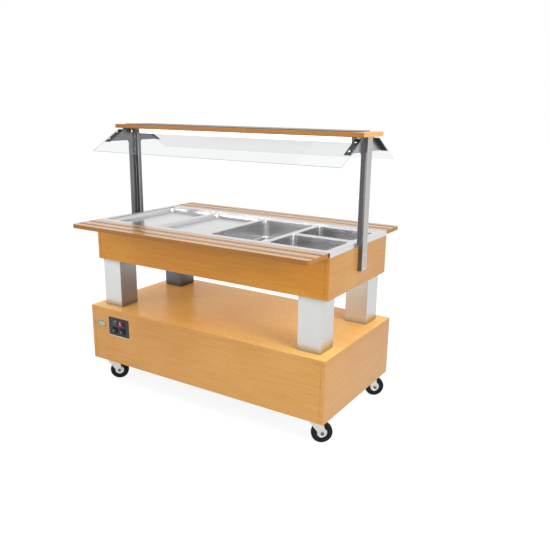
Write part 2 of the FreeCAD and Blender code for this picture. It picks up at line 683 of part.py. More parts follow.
for side, tag in ((-1, "left"), (1, "right")):
    for number, height in enumerate((post_low + 10, post_low + 74)):
        outside = (tub_x + D["post_deep"]) * side
        start = outside if side > 0 else outside - 2.5
        screws.append(hexagon("post_screw_%s_%d" % (tag, number), D["post_screw"], 2.5,
                              (start, 0, height), "x"))
    for number, distance in enumerate((-128, 121)):
        start = tub_x * side if side > 0 else tub_x * side - 2
        screws.append(hexagon("rim_screw_%s_%d" % (tag, number), D["rim_screw"], 2,
                              (start, distance, rim_z + 10), "x"))
group("screws", *screws)

lamp_low = canopy_z - D["lamp_tall"]
lamp_half = D["lamp_length"] / 2
tray = block("lamp_tray", (2 * (lamp_half + D["lamp_cap"]), D["lamp_wide"] + 14, 5), (0, 0, canopy_z - 5))
caps = [block("lamp_cap_%d" % hand, (D["lamp_cap"], D["lamp_wide"], D["lamp_tall"]),
              ((lamp_half + D["lamp_cap"] / 2) * hand, 0, lamp_low)) for hand in (-1, 1)]
fused("lamp_body", tray, *caps)
glow = block("glow_blank", (D["lamp_length"], D["lamp_wide"], D["lamp_tall"] - 5), (0, 0, lamp_low))
eased("lamp_diffuser", glow, 9, lambda edge: abs(edge.tangentAt(edge.FirstParameter).x) > 0.99
      and edge.CenterOfMass.z < lamp_low.value + 1)

# ------------------------------------------------------------------ casters
places = (("front_left", -1, -1), ("front_right", 1, -1), ("back_left", -1, 1), ("back_right", 1, 1))


caster_x = base_x - D["caster_in_x"]
caster_y = base_y - D["caster_in_y"]
crown_high = floor_z - D["mount_thick"]
crown_low = crown_high - D["crown_tall"]
pedal_z = crown_low - 5


SIX = [(1, 0), (0.5, 0.866), (-0.5, 0.866), (-1, 0), (-0.5, -0.866), (0.5, -0.866)]


def stand_caster(thing, side_x, side_y):
    """Turns a piece built round the swivel axis and sets it under its corner."""
    thing.Placement = Placement(Vector(), Rotation(Vector(0, 0, 1), D["caster_turn"].value))
    put(thing, caster_x * side_x, caster_y * side_y, 0)


plates = []
for name, side_x, side_y in places:
    here = (caster_x * side_x, caster_y * side_y)
    mount_t = D["mount_thick"]
    nuts = [hexagon("bolt_%s_%d" % (name, number), 13, 4, (
        here[0] + (D["plate_long"] / 2 - 12) * hx, here[1] + (D["plate_short"] / 2 - 12) * hy,
        floor_z - mount_t - 4)) for number, (hx, hy) in enumerate(((-1, -1), (1, -1), (-1, 1), (1, 1)))]
    plates.append(fused(
        "mount_" + name,
        block("mount_plate_" + name, (D["plate_long"], D["plate_short"], mount_t), here + (floor_z - mount_t,)),
        rod("kingpin_" + name, D["kingpin_dia"], floor_z - crown_low - 1, here + (crown_low - 1,)),
        hexagon("kingpin_nut_" + name, 22, 4, here + (crown_low - 4,)), *nuts))

    fork = body("fork_" + name)
    crown_r = D["crown_dia"] / 2
    crown_cut = crown_r * 0.42
    pad(fork, "crown", "XY", [
        (crown_cut, -crown_r), (crown_r, -crown_cut), (crown_r, crown_cut), (crown_cut, crown_r),
        (-crown_cut, crown_r), (-crown_r, crown_cut), (-crown_r, -crown_cut), (-crown_cut, -crown_r)],
        crown_low, D["crown_tall"])
    axle_z = D["wheel_dia"] / 2
    trail = D["caster_trail"]
    leg_face = [(-25, crown_high - 1), (-24, crown_low - 6), (trail - 13, axle_z - 4),
                (trail - 7, axle_z - 12), (trail + 7, axle_z - 12), (trail + 13, axle_z - 2),
                (D["pedal_pivot"] + 8, pedal_z - 8), (D["pedal_pivot"] + 8, pedal_z + 3),
                (25, crown_high - 1)]
    half_gap = D["fork_gap"] / 2
    pad(fork, "cheek_left", "XZ", leg_face, half_gap, D["fork_sheet"])
    pad(fork, "cheek_right", "XZ", leg_face, -half_gap - D["fork_sheet"], D["fork_sheet"])
    round_pocket(fork, "kingpin_hole", "XY", (0, 0), D["kingpin_dia"] + 2 * D["running_gap"],
                 crown_low - 5, D["crown_tall"] + 10, True)
    round_pad(fork, "axle", "XZ", (trail, axle_z), D["axle_dia"], -half_gap - 1, D["fork_gap"] + 2)
    head = [(trail + 9 * c, axle_z + 9 * s) for c, s in SIX]
    pad(fork, "bolt_head", "XZ", head, half_gap + D["fork_sheet"], 4)
    pad(fork, "bolt_nut", "XZ", head, -half_gap - D["fork_sheet"] - 4, 4)
    if side_x < 0:
        pivot = (D["pedal_pivot"], pedal_z)
        round_pad(fork, "pedal_pin", "XZ", pivot, D["pedal_pin"], -half_gap - 1, D["fork_gap"] + 2)
    stand_caster(fork, side_x, side_y)

    wheel = body("wheel_" + name)
    wheel_half = D["wheel_wide"] / 2
    round_pad(wheel, "roller", "XZ", (0, axle_z), D["wheel_dia"], -wheel_half, D["wheel_wide"])
    round_pocket(wheel, "axle_hole", "XZ", (0, axle_z), D["axle_dia"] + 2 * D["running_gap"],
                 -wheel_half - 5, D["wheel_wide"] + 10, True)
    wheel.Placement = Placement(Vector(), Rotation(Vector(0, 0, 1), D["caster_turn"].value))
    turn = math.radians(D["caster_turn"].value)
    shift_x = trail * round(math.cos(turn), 9)
    shift_y = trail * round(math.sin(turn), 9)
    put(wheel, caster_x * side_x + shift_x, caster_y * side_y + shift_y, 0)
    if side_x < 0:
        pedal = body("pedal_" + name)
        low = pedal_z - 4.5
        high = pedal_z + 4
        pedal_end = D["pedal_pivot"] + D["pedal_reach"]
        lever = [(D["pedal_pivot"] - 4, low), (pedal_end - 6, low), (pedal_end, low + 3),
                 (pedal_end, high), (D["pedal_pivot"] - 4, high)]
        pedal_half = D["pedal_wide"] / 2
        pad(pedal, "lever", "XZ", lever, -pedal_half, D["pedal_wide"])
        pin_hole = D["pedal_pin"] + 2 * D["running_gap"]
        round_pocket(pedal, "pivot_hole", "XZ", pivot, pin_hole, -pedal_half - 5, D["pedal_wide"] + 10, True)
        stand_caster(pedal, side_x, side_y)
group("caster_plates", *plates)

# ------------------------------------------------------------------ controls on the front panel
face_y = base_y - set_back
panel = block("control_sheet", (D["panel_wide"], D["panel_thick"], D["panel_high"]),
              (panel_x, -(face_y + D["panel_thick"] / 2), panel_z - D["panel_high"] / 2))
dial_x = panel_x + 2
dial_z = panel_z + D["dial_lift"]
switch_z = panel_z - D["switch_low"]
power_x = panel_x + 1 - D["switch_pitch"] / 2
light_x = panel_x + 1 + D["switch_pitch"] / 2
key_x = dial_x - D["key_in"]
frames = []
holes = []
for tag, place in (("power", power_x), ("light", light_x)):
    frames.append(block("frame_" + tag, (D["switch_wide"], 12, D["switch_high"]),
                        (place, -(face_y - 1), switch_z - D["switch_high"] / 2)))
    holes.append(block("frame_hole_" + tag, (D["rocker_wide"] + 1, 30, D["rocker_high"] + 1),
                       (place, -face_y, switch_z - D["rocker_high"] / 2 - 0.5)))
dial_hole = block("dial_hole", (D["dial_wide"] - 7, 30, D["dial_high"] - 8),
                  (dial_x, -face_y, dial_z - D["dial_high"] / 2 + 4))
frame_set = fused("control_frames", panel, *frames)
cut("control_plate", frame_set, dial_hole, *holes)

front_y = face_y + D["panel_thick"]
bezel = block("dial_bezel", (D["dial_wide"], 4, D["dial_high"]),
              (dial_x, -(front_y + 2), dial_z - D["dial_high"] / 2))
case = block("dial_case", (D["dial_wide"] - 8, D["dial_deep"], D["dial_high"] - 9),
             (dial_x, -(front_y - D["dial_deep"] / 2), dial_z - D["dial_high"] / 2 + 4.5))
window = block("dial_window", (D["window_wide"], 2, D["window_high"]),
               (dial_x + D["window_in"], -(front_y + 4), dial_z - D["window_high"] / 2))
key_holes = []
key_hole = D["key_size"] + 2 * D["key_fit"]
for number, step in enumerate((1, -1)):
    key_holes.append(block("key_hole_%d" % number, (key_hole, 6, key_hole),
                           (key_x, -(front_y + 4), dial_z + D["key_gap"] * step / 2 - key_hole / 2)))
cut("temperature_controller", fused("dial_solid", bezel, case), window, *key_holes)
for label, step in (("key_up", 1), ("key_down", -1)):
    block(label, (D["key_size"], 2.6, D["key_size"]),
          (key_x, -(front_y + 4 - 0.5), dial_z + D["key_gap"] * step / 2 - D["key_size"] / 2))

for label, place in (("power_rocker", power_x), ("light_rocker", light_x)):
    rocker = body(label)
    tall = D["rocker_high"] / 2
    # the face is a shallow V; the lower half is pressed in, so the rocker stands tipped
    face = [(-(front_y + 1), tall - 0.6), (-(front_y + 7.5), tall - 1.2), (-(front_y + 3.6), 0),
            (-(front_y + 3.4), 1.2 - tall), (-(front_y - 3), 1.8 - tall), (-(front_y - 7), 0)]
    half_wide = D["rocker_wide"] / 2 - 0.2
    flat = sketch_on(rocker, "rocker_outline", "YZ", place - half_wide)
    polygon(flat, [(y, switch_z + z) for y, z in face])
    feature(rocker, "Pad", "rocker_cap", flat, 2 * half_wide)

# ------------------------------------------------------------------ cooling unit in the base
deck = floor_z + infill
pot_can = rod("pot_can", D["pot_dia"], D["pot_tall"], (D["pot_x"], D["pot_y"], deck + D["foot_lift"] + 3))
foot_plate = block("pot_feet", (D["foot_long"], D["foot_wide"], 3),
                   (D["pot_x"], D["pot_y"], deck + D["foot_lift"]))
pad_x = D["foot_long"] / 2 - 17
pad_y = D["foot_wide"] / 2 - 15
pads = [block("pot_pad_%d%d" % (hx, hy), (D["pad_side"], D["pad_side"], D["foot_lift"]),
              (D["pot_x"] + pad_x * hx, D["pot_y"] + pad_y * hy, deck))
        for hx in (-1, 1) for hy in (-1, 1)]
fused("compressor", pot_can, foot_plate, *pads)
pot_top = deck + D["foot_lift"] + 3 + D["pot_tall"]

# the fins are one comb on a spine, which stands for the tubes that run through them
coil_low = deck + 4
fins = []
for number in range(13):
    fins.append(block("fin_%d" % number, (D["coil_thick"], 1.6, D["coil_high"]),
                      (D["coil_x"], D["coil_y"] + D["fin_pitch"] * (number - 6), coil_low)))
spine = block("coil_spine", (D["pipe_dia"], D["coil_long"], D["coil_high"]),
              (D["coil_x"], D["coil_y"], coil_low))
ends = [block("coil_end_%d" % hand, (D["coil_thick"], 2, D["coil_high"] + 8),
              (D["coil_x"], D["coil_y"] + (D["coil_long"] / 2 - 1) * hand, deck)) for hand in (-1, 1)]
fused("condenser", *(fins + [spine] + ends))

shroud_x = D["coil_x"] + D["coil_thick"] / 2
shroud_long = D["coil_long"]
shroud_deep = D["shroud_deep"]
shroud_out = block("shroud_outer", (shroud_deep, shroud_long, D["coil_high"] + 8),
                   (shroud_x + shroud_deep / 2, D["coil_y"], deck))
shroud_in = block("shroud_inner", (shroud_deep + 2, shroud_long - 4, D["coil_high"] + 4),
                  (shroud_x + shroud_deep / 2 - 3, D["coil_y"], deck + 2))
hub_z = deck + (D["coil_high"] + 8) / 2
mouth = rod("shroud_mouth", D["fan_dia"] + 10, 30, (shroud_x + shroud_deep - 12, D["coil_y"], hub_z), "x")
shroud_box = cut("shroud_box", shroud_out, shroud_in, mouth)
strut = block("motor_strut", (4, shroud_long - 20, 18),
              (shroud_x + shroud_deep + 2, D["coil_y"], hub_z - 9))
motor = block("fan_motor", (D["motor_deep"], D["motor_side"], D["motor_side"]),
              (shroud_x + shroud_deep + 2 + D["motor_deep"] / 2, D["coil_y"], hub_z - D["motor_side"] / 2))
shaft = rod("fan_shaft", D["fan_shaft"], shroud_deep - 10, (shroud_x + 14, D["coil_y"], hub_z), "x")
fused("fan_shroud", shroud_box, strut, motor, shaft)

fan_hub = rod("fan_hub", D["fan_hub"], D["fan_hub_deep"], (shroud_x + 18, D["coil_y"], hub_z), "x")
blades = []
for number in range(5):
    blade = doc.addObject("Part::Box", "blade_%d" % number)
    bind(blade, Length=2, Width=D["fan_dia"] / 2 - 18, Height=44)
    spoke = Rotation(Vector(1, 0, 0), 72 * number)
    leant = spoke * Rotation(Vector(0, 1, 0), D["fan_pitch"].value)
    offset = spoke.multVec(Vector(0, 18, 0)) + leant.multVec(Vector(-1, 0, -22))
    blade.Placement = Placement(Vector(), leant)
    put(blade, shroud_x + 28 + round(offset.x, 6), D["coil_y"] + round(offset.y, 6),
        hub_z + round(offset.z, 6))
    blades.append(blade)
fan_solid = fused("fan_solid", fan_hub, *blades)
fan_bore = rod("fan_bore", D["fan_shaft"] + 2 * D["running_gap"], 40, (shroud_x + 8, D["coil_y"], hub_z), "x")
cut("fan_blade", fan_solid, fan_bore)

# copper lines: round the well, down the leg and on to the unit
wrap_x = well_long / 2 + sheet_t + D["bare_gap"] + D["pipe_dia"] / 2
wrap_y = lines_y
run_z = well_z + D["well_line"]
step = D["line_step"]
suction_y = D["pot_y"] + step
suction_z = base_top_z - D["suction_fall"]
liquid_z = base_top_z - D["liquid_fall"]
cold_line = pipe("cold_line", D["pipe_dia"], [
    (D["pot_x"] - step, suction_y, pot_top), (D["pot_x"] - step, suction_y, suction_z),
    (suction_x, suction_y, suction_z), (suction_x, wrap_y, suction_z), (suction_x, wrap_y, run_z),
    (wrap_x, wrap_y, run_z), (wrap_x, -wrap_y, run_z), (-wrap_x, -wrap_y, run_z),
    (-wrap_x, wrap_y, run_z), (liquid_x, wrap_y, run_z), (liquid_x, wrap_y, liquid_z),
    (D["coil_x"], wrap_y, liquid_z), (D["coil_x"], D["coil_y"] + D["coil_long"] / 2, liquid_z)])
hot_z = pot_top + 20
coil_end = D["coil_y"] - D["coil_long"] / 2
hot_line = pipe("hot_line", D["pipe_dia"], [
    (D["pot_x"] + step, D["pot_y"], pot_top), (D["pot_x"] + step, D["pot_y"], hot_z),
    (D["pot_x"] + step, coil_end - D["line_past"], hot_z),
    (D["coil_x"], coil_end - D["line_past"], hot_z),
    (D["coil_x"], coil_end - D["line_past"], hot_z - 60),
    (D["coil_x"], coil_end, hot_z - 60)])
group("pipework", cold_line, hot_line)

inlet_body = block("inlet_body", (D["inlet_wide"], D["inlet_deep"], D["inlet_high"]),
                   (inlet_x, base_y - set_back + 2 - D["inlet_deep"] / 2, inlet_z - D["inlet_high"] / 2))
inlet_rim = block("inlet_rim", (D["inlet_lip"], 3, D["inlet_lip_high"]),
                  (inlet_x, base_y - set_back + 3.5, inlet_z - D["inlet_lip_high"] / 2))
inlet_cup = block("inlet_cup", (D["inlet_cup_wide"], 20, D["inlet_cup_high"]),
                  (inlet_x, base_y - set_back + 2, inlet_z - D["inlet_cup_high"] / 2))
cut("mains_inlet", fused("inlet_solid", inlet_body, inlet_rim), inlet_cup)

# ------------------------------------------------------------------ checks and export
NODES = [
    "base_top_board", "base_left_panel", "base_right_panel", "base_front_panel", "base_back_panel",
    "base_floor_board", "service_panel", "mains_inlet", "control_plate", "temperature_controller",
    "key_up", "key_down", "power_rocker", "light_rocker", "compressor", "condenser", "fan_shroud",
    "fan_blade", "pipework", "legs", "tub_left_panel", "tub_right_panel", "tub_front_panel",
    "tub_back_panel", "tub_floor_board", "insulation", "well_liner", "well_rim", "divider_bars",
    "tray_left", "tray_middle", "pan_full", "pan_half_front", "pan_half_back",
    "shelf_front_board", "shelf_front_steel", "shelf_back_board", "shelf_back_steel", "hinge_consoles",
    "post_left", "post_right", "glass_supports", "glass_front", "glass_back", "screws", "canopy_board",
    "canopy_top_plate", "lamp_body", "lamp_diffuser", "caster_plates",
    "fork_front_left", "fork_front_right", "fork_back_left", "fork_back_right",
    "wheel_front_left", "wheel_front_right", "wheel_back_left", "wheel_back_right",
    "pedal_front_left", "pedal_back_left",
]
doc.recompute()
for thing in doc.Objects:
    if "Invalid" in thing.State or "Error" in thing.State:
        raise RuntimeError("%s did not build: %s" % (thing.Label, thing.State))
for label in NODES:
    thing = doc.getObjectsByLabel(label)[0]
    shape = thing.Shape
    if shape.isNull() or not shape.isValid() or shape.Volume <= 0:
        raise RuntimeError("%s has no sound solid" % label)
    shape.exportStep("parts/%s.step" % label)
print("wrote", len(NODES), "nodes")
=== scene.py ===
import json
import math

import bmesh
import bpy
from bpy.props import FloatProperty, FloatVectorProperty, IntProperty, PointerProperty
from mathutils import Matrix, Vector

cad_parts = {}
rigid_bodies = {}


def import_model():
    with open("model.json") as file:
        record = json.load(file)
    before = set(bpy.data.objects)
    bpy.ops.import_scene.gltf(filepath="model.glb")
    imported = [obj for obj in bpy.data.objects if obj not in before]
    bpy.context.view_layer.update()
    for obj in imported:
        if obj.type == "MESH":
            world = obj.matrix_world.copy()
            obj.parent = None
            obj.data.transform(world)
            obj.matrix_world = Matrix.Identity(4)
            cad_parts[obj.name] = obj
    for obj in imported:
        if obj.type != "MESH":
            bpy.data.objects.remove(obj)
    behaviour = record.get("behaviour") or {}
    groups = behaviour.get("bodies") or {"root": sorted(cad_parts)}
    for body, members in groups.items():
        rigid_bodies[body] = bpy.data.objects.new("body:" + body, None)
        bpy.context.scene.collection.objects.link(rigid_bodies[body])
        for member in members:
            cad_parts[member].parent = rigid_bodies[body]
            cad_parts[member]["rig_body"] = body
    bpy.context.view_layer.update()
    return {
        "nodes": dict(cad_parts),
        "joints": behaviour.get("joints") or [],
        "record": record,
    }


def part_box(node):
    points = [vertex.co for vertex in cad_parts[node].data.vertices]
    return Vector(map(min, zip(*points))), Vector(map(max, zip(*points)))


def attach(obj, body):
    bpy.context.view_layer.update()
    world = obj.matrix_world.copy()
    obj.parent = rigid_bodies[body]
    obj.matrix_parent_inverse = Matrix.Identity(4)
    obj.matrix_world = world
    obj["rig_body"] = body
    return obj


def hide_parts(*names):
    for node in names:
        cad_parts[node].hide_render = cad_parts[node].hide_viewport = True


bl_info = {
    "name": "Salad bar dressing",
    "version": (1, 0, 0),
    "blender": (4, 5, 0),
    "location": "3D View > Sidebar > Salad Bar",
    "description": "Dresses the packed frame of a mobile salad bar with pieces and materials",
    "category": "Object",
}

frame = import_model()
SLOT_OF = {part["node"]: part["material_slot"] for part in frame["record"]["subparts"]}

# The view of the photo: turn, rise and roll in degrees, the focal length and the picture's width in
# pixels, and the eye in metres
VIEW_ANGLES = (32.0303, 14.9573, 0.7791)
FOCAL_PIXELS = 630.711
PICTURE_PIXELS = 550
SENSOR_MM = 36
EYE = (1.867, -2.610, 1.489)

WHITE = (1, 1, 1, 1)
CAMERA_SEES = ("Is Glossy Ray", "Is Transmission Ray")  # rays that see what the camera sees
WELD = 2e-6  # corners nearer than this are one corner
FLAT = math.radians(0.5)  # faces that meet at less than this are one face
EASED_FROM = math.radians(35)  # an edge sharper than this is eased
BENT = 0.2  # the least angle, in radians, of an edge that is weighed


def tint(text):
    """A colour written as six hex digits, as linear red, green and blue."""
    parts = [int(text[i:i + 2], 16) / 255 for i in (0, 2, 4)]
    return tuple(p / 12.92 if p <= 0.04045 else ((p + 0.055) / 1.055) ** 2.4 for p in parts)


# ------------------------------------------------------------------ settings
def colour(name, words, text):
    """A colour that can be set."""
    return FloatVectorProperty(name=name, description=words, default=tint(text), subtype="COLOR",
                               size=3, min=0, max=1)


def amount(name, words, value, **more):
    """A number, zero or more, that can be set."""
    return FloatProperty(name=name, description=words, default=value, min=0, **more)


def length(name, words, metres):
    return amount(name, words, metres, subtype="DISTANCE", unit="LENGTH")


def lamp_power(name, words, watts):
    return amount(name, words, watts, subtype="POWER", unit="POWER")


class CabinetLook(bpy.types.PropertyGroup):
    light_grain: colour("Light grain", "The paler tone of the wood laminate", "E6AE68")
    dark_grain: colour("Dark grain", "The deeper tone of the wood laminate", "C98A41")
    gloss: amount("Roughness", "How matt the laminate is", 0.26, max=1, subtype="FACTOR")
    edge: length("Edge radius", "The radius of the eased board edges", 0.0012)


class SteelLook(bpy.types.PropertyGroup):
    satin: colour("Satin steel", "The colour of the brushed rim and pans", "DCDCDD")
    # The shaded and deep tones are painted shade on the left legs' inner faces.
    shaded: colour("Shaded steel", "The colour of the left legs' faces that look inward", "A2A9B4")
    deep: colour("Deep shaded steel", "The colour of those faces on the far left leg", "666970")
    leg: colour("Leg steel", "The colour of the brushed legs", "D0D0CE")
    foot: length("Leg foot shade", "How far up a leg the shade at its foot reaches", 0.035)
    # The post tones are one steel, painted lit and shaded by face: the web and flanges lit, the
    # side walls and channel in painted shade, the folds with a painted highlight.
    post: colour("Post web", "The colour of the outer web of a canopy post", "BCBAB6")
    flange: colour("Post flange", "The colour of a post's flanges and gussets", "B6B4B9")
    recess: colour("Post recess", "The colour of a post's side walls and of its channel", "7C7B7D")
    bend: colour("Post bend", "The colour of the light along a post's folds", "DFDFE2")
    bend_radius: length("Fold radius of the posts", "The outer radius of the long folds", 0.0032)
    strip: colour("Strip steel", "The colour of the strips in the tray shelves", "8E867A")
    zinc: colour("Zinc", "The colour of the plated caster forks", "D2D3CF")


class CanopyLook(bpy.types.PropertyGroup):
    pane: colour("Pane", "The tint of the glass", "5F6B73")
    pane_edge: colour("Pane edge", "The tint of the polished glass edges", "6FA6A4")
    lamp: amount("Lamp level", "How bright the diffuser is", 1.6)
    plate: colour("Top plate", "The colour of the sheet on the canopy", "34363A")


class CasterLook(bpy.types.PropertyGroup):
    tyre: colour("Tyre", "The colour of the tyres", "121211")
    bolt: colour("Axle bolt", "The colour of the axle bolts", "6A6A68")
    hub: length("Hub radius", "The radius of the plated hub disc", 0.024)
    steps: IntProperty(name="Steps round", description="Facets round a wheel", default=72, min=24)


class ControlLook(bpy.types.PropertyGroup):
    plate: colour("Plate", "The colour of the control plate", "303238")
    digits: colour("Digits", "The colour of the lit display", "FF4A72")
    # a painted glow of the lit figure on the window round it
    halo: colour("Display glow", "The colour of the window behind the lit figure", "5A0C22")
    # a painted highlight along the left and lower edges of the control plate
    trim: colour("Trim", "The colour of the thin trim under the control plate", "EFE6D6")
    badge_rim: colour("Badge rim", "The colour of the edge of the blank oval plate", "5F7C88")
    badge: colour("Badge", "The colour of the field of the blank oval plate", "B3AE93")


class StageLook(bpy.types.PropertyGroup):
    floor: colour("Floor", "The colour of the floor", "FFFFFF")
    bounce: amount("Floor bounce", "How much light the floor throws back up", 0.4, max=1)
    world_level: amount("Room light", "The level of the even room light", 1.0)
    key_power: lamp_power("Key light", "The power of the large right hand lamp", 60)
    fill_power: lamp_power("Fill light", "The power of the front lamp", 50)
    top_power: lamp_power("Top light", "The power of the lamp overhead", 40)


LOOKS = {"cabinet": CabinetLook, "steel": SteelLook, "canopy": CanopyLook, "casters": CasterLook,
         "controls": ControlLook, "stage": StageLook}


def look(group):
    """The settings of one group, as they stand in the scene."""
    return getattr(bpy.context.scene, "salad_bar_" + group)


# ------------------------------------------------------------------ shader maths
class Value:
    """A shader socket that can stand in a Python sum; each step adds its Math node."""

    def __init__(self, paint, socket):
        self.paint = paint
        self.socket = socket

    def maths(self, operation, *terms):
        return self.paint.node("ShaderNodeMath", {"operation": operation}, dict(enumerate(terms)))

    def __add__(self, other):
        return self.maths("ADD", self, other)

    def __radd__(self, other):
        return self.maths("ADD", other, self)

    def __sub__(self, other):
        return self.maths("SUBTRACT", self, other)

    def __mul__(self, other):
        return self.maths("MULTIPLY", self, other)

    def __rmul__(self, other):
        return self.maths("MULTIPLY", other, self)

    def between(self, low, high):
        """0 below low, 1 above high, and smooth from one to the other."""
        return self.paint.node("ShaderNodeMapRange", {"interpolation_type": "SMOOTHSTEP"},
                               {"Value": self, "From Min": low, "From Max": high})


class Paint:
    """One material and the nodes that make it."""

    def __init__(self, label, **plain):
        self.material = bpy.data.materials.new(label)
        self.material.use_nodes = True
        self.nodes = self.material.node_tree.nodes
        self.shader = self.nodes["Principled BSDF"]
        for name, item in plain.items():
            self.feed(name.replace("_", " ").title().replace("Ior", "IOR"), item)

    def node(self, kind, settings=None, sockets=None, out=0):
        """Adds a node, fills its sockets with numbers, colours or Values, and gives one output."""
        made = self.nodes.new(kind)
        for name, item in (settings or {}).items():
            setattr(made, name, item)
        for name, item in (sockets or {}).items():
            self.join(made.inputs[name], item)
        return Value(self, made.outputs[out])

    def join(self, socket, item):
        if isinstance(item, Value):
            self.material.node_tree.links.new(item.socket, socket)
        elif socket.type == "RGBA" and len(item) == 3:
            socket.default_value = (*item, 1)
        else:
            socket.default_value = item

    def feed(self, name, item):
        self.join(self.shader.inputs[name], item)

    def place(self, stretch):
        """The point in the object's own metres, times a stretch for each axis."""
        spot = self.node("ShaderNodeTexCoord", out="Object")
        return self.node("ShaderNodeVectorMath", {"operation": "MULTIPLY"}, {0: spot, 1: stretch})

    def height(self):
        spot = self.node("ShaderNodeTexCoord", out="Object")
        return self.node("ShaderNodeSeparateXYZ", None, {"Vector": spot}, out="Z")

    def noise(self, stretch, detail, rough):
        return self.node("ShaderNodeTexNoise", None, {
            "Vector": self.place(stretch), "Scale": 1.0, "Detail": detail, "Roughness": rough})

    def mix(self, factor, first, second):
        return self.node("ShaderNodeMix", {"data_type": "RGBA", "blend_type": "MIX"},
                         {0: factor, 6: first, 7: second}, out=2)

    def bump(self, height, depth, strength):
        self.feed("Normal", self.node("ShaderNodeBump", None,
                                      {"Height": height, "Distance": depth, "Strength": strength}))


def stretched(along, short, long):
    """Noise scales for a grain that runs along one axis."""
    return tuple(long if axis == along else short for axis in "xyz")


def laminate(label, along, tone=(1, 1, 1), rough=None, shine=0.35, coat=0.2):
    """Wood laminate: a soft figure, fine short pores, and a satin lacquer. tone deepens or lifts
    its colour, which paints shade or light on it."""
    cabinet = look("cabinet")
    light = tuple(min(1, c * t) for c, t in zip(cabinet.light_grain, tone))
    dark = tuple(min(1, c * t) for c, t in zip(cabinet.dark_grain, tone))
    paint = Paint(label)
    figure = paint.noise(stretched(along, 90, 5), 4.0, 0.6)
    pores = paint.noise(stretched(along, 700, 70), 3.0, 0.65).between(0.36, 0.62)
    clouds = paint.noise((1.6, 1.6, 1.6), 2.0, 0.5)
    depth = figure.between(0.3, 0.7) * 0.3 + pores * 0.35 + clouds.between(0.35, 0.65) * 0.35
    paint.feed("Base Color", paint.mix(depth, dark, light))
    base = cabinet.gloss if rough is None else rough
    paint.feed("Roughness", base + 0.05 * figure + 0.06 * pores)
    paint.bump(pores + figure * 0.4, 0.00008, 0.6)
    paint.feed("Specular IOR Level", shine)
    paint.feed("Coat Weight", coat)
    paint.feed("Coat Roughness", 0.12)
    return paint.material


def brushed(label, shade, along, rough, ends=None):
    """Steel with fine brush lines along one axis. ends (low, high, reach) paints shade on it toward
    both ends in height."""
    paint = Paint(label, metallic=1.0)
    lines = paint.noise(stretched(along, 900, 9), 3.0, 0.7)
    smears = paint.noise((5, 5, 5), 2.0, 0.5)
    darker = tuple(c * 0.86 for c in shade)
    tone = paint.mix(lines.between(0.25, 0.75) * 0.6 + smears * 0.4, darker, tuple(shade))
    if ends:
        low, high, reach = ends
        height = paint.height()
        # painted shade toward both ends of the leg
        clear = (height.between(low - reach * 0.3, low + reach)
                 * height.between(high + reach * 0.6, high - reach))
        tone = paint.mix(clear, paint.mix(0.55, tone, tuple(c * 0.2 for c in shade)), tone)
    paint.feed("Base Color", tone)
    paint.feed("Roughness", rough + 0.12 * (lines - 0.5) + 0.08 * (smears - 0.5))
    paint.bump(lines, 0.00002, 0.5)
    return paint.material


def painted(label, shade, rough, orange=0.00003, shine=0.5):
    """A coated or moulded surface with a faint texture, which is orange metres deep."""
    paint = Paint(label)
    paint.feed("Specular IOR Level", shine)
    skin = paint.noise((500, 500, 500), 2.0, 0.5)
    cloud = paint.noise((14, 14, 14), 2.0, 0.5)
    paint.feed("Base Color", paint.mix(cloud, tuple(c * 0.85 for c in shade),
                                       tuple(min(1, c * 1.1) for c in shade)))
    paint.feed("Roughness", rough + 0.12 * (cloud - 0.5))
    paint.bump(skin, orange, 0.6)
    return paint.material


def lit(label, shade, level):
    """A surface that glows."""
    paint = Paint(label, roughness=0.3)
    glow = paint.noise((60, 60, 60), 1.0, 0.5)
    paint.feed("Base Color", tuple(shade))
    paint.feed("Emission Color",
               paint.mix(glow * 0.15, tuple(shade), tuple(c * 0.8 for c in shade)))
    paint.feed("Emission Strength", level)
    return paint.material


# ------------------------------------------------------------------ mesh helpers
def finish_mesh(shape, label, materials):
    """Turns a mesh in the making into a mesh with smooth faces, and frees it."""
    mesh = bpy.data.meshes.new(label)
    bmesh.ops.recalc_face_normals(shape, faces=shape.faces)
    for face in shape.faces:
        face.smooth = True
    shape.to_mesh(mesh)
    shape.free()
    for item in materials:
        mesh.materials.append(item)
    return mesh


def stand(label, mesh, body, slot, nodes=(), ease=None, segments=2):
    """Puts a mesh in the scene as a piece of a body, with eased edges, in place of nodes."""
    piece = bpy.data.objects.new(label, mesh)
    bpy.context.scene.collection.objects.link(piece)
    if ease:
        soft = piece.modifiers.new("eased_edges", "BEVEL")
        soft.width = ease
        soft.segments = segments
        soft.limit_method = "ANGLE"
        soft.angle_limit = EASED_FROM
        soft.harden_normals = True
    fair = piece.modifiers.new("fair_normals", "WEIGHTED_NORMAL")
    fair.keep_sharp = True
    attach(piece, body)
    if nodes:
        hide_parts(*nodes)
    return piece


def dress(node, materials, ease=0.0008, segments=2, sort=None, weigh=None):
    """A copy of a node's solid with clean faces and eased edges. sort(face) picks its material,
    and weigh(edge) the share of the ease that an edge gets."""
    source = frame["nodes"][node]
    shape = bmesh.new()
    shape.from_mesh(source.data)
    bmesh.ops.remove_doubles(shape, verts=shape.verts, dist=WELD)
    bmesh.ops.dissolve_limit(shape, angle_limit=FLAT, verts=shape.verts, edges=shape.edges)
    if sort:
        for face in shape.faces:
            face.material_index = sort(face)
    if not isinstance(materials, (list, tuple)):
        materials = [materials]
    if weigh:
        bmesh.ops.connect_verts_concave(shape, faces=shape.faces)
        share = shape.edges.layers.float.new("bevel_weight_edge")
        for edge in shape.edges:
            edge[share] = weigh(edge) if edge.calc_face_angle(0) > BENT else 0
    mesh = finish_mesh(shape, node, materials)
    piece = stand("dressed_" + node, mesh, source["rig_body"], SLOT_OF[node], (node,), ease,
                  segments)
    if weigh:
        piece.modifiers["eased_edges"].limit_method = "WEIGHT"
    return piece


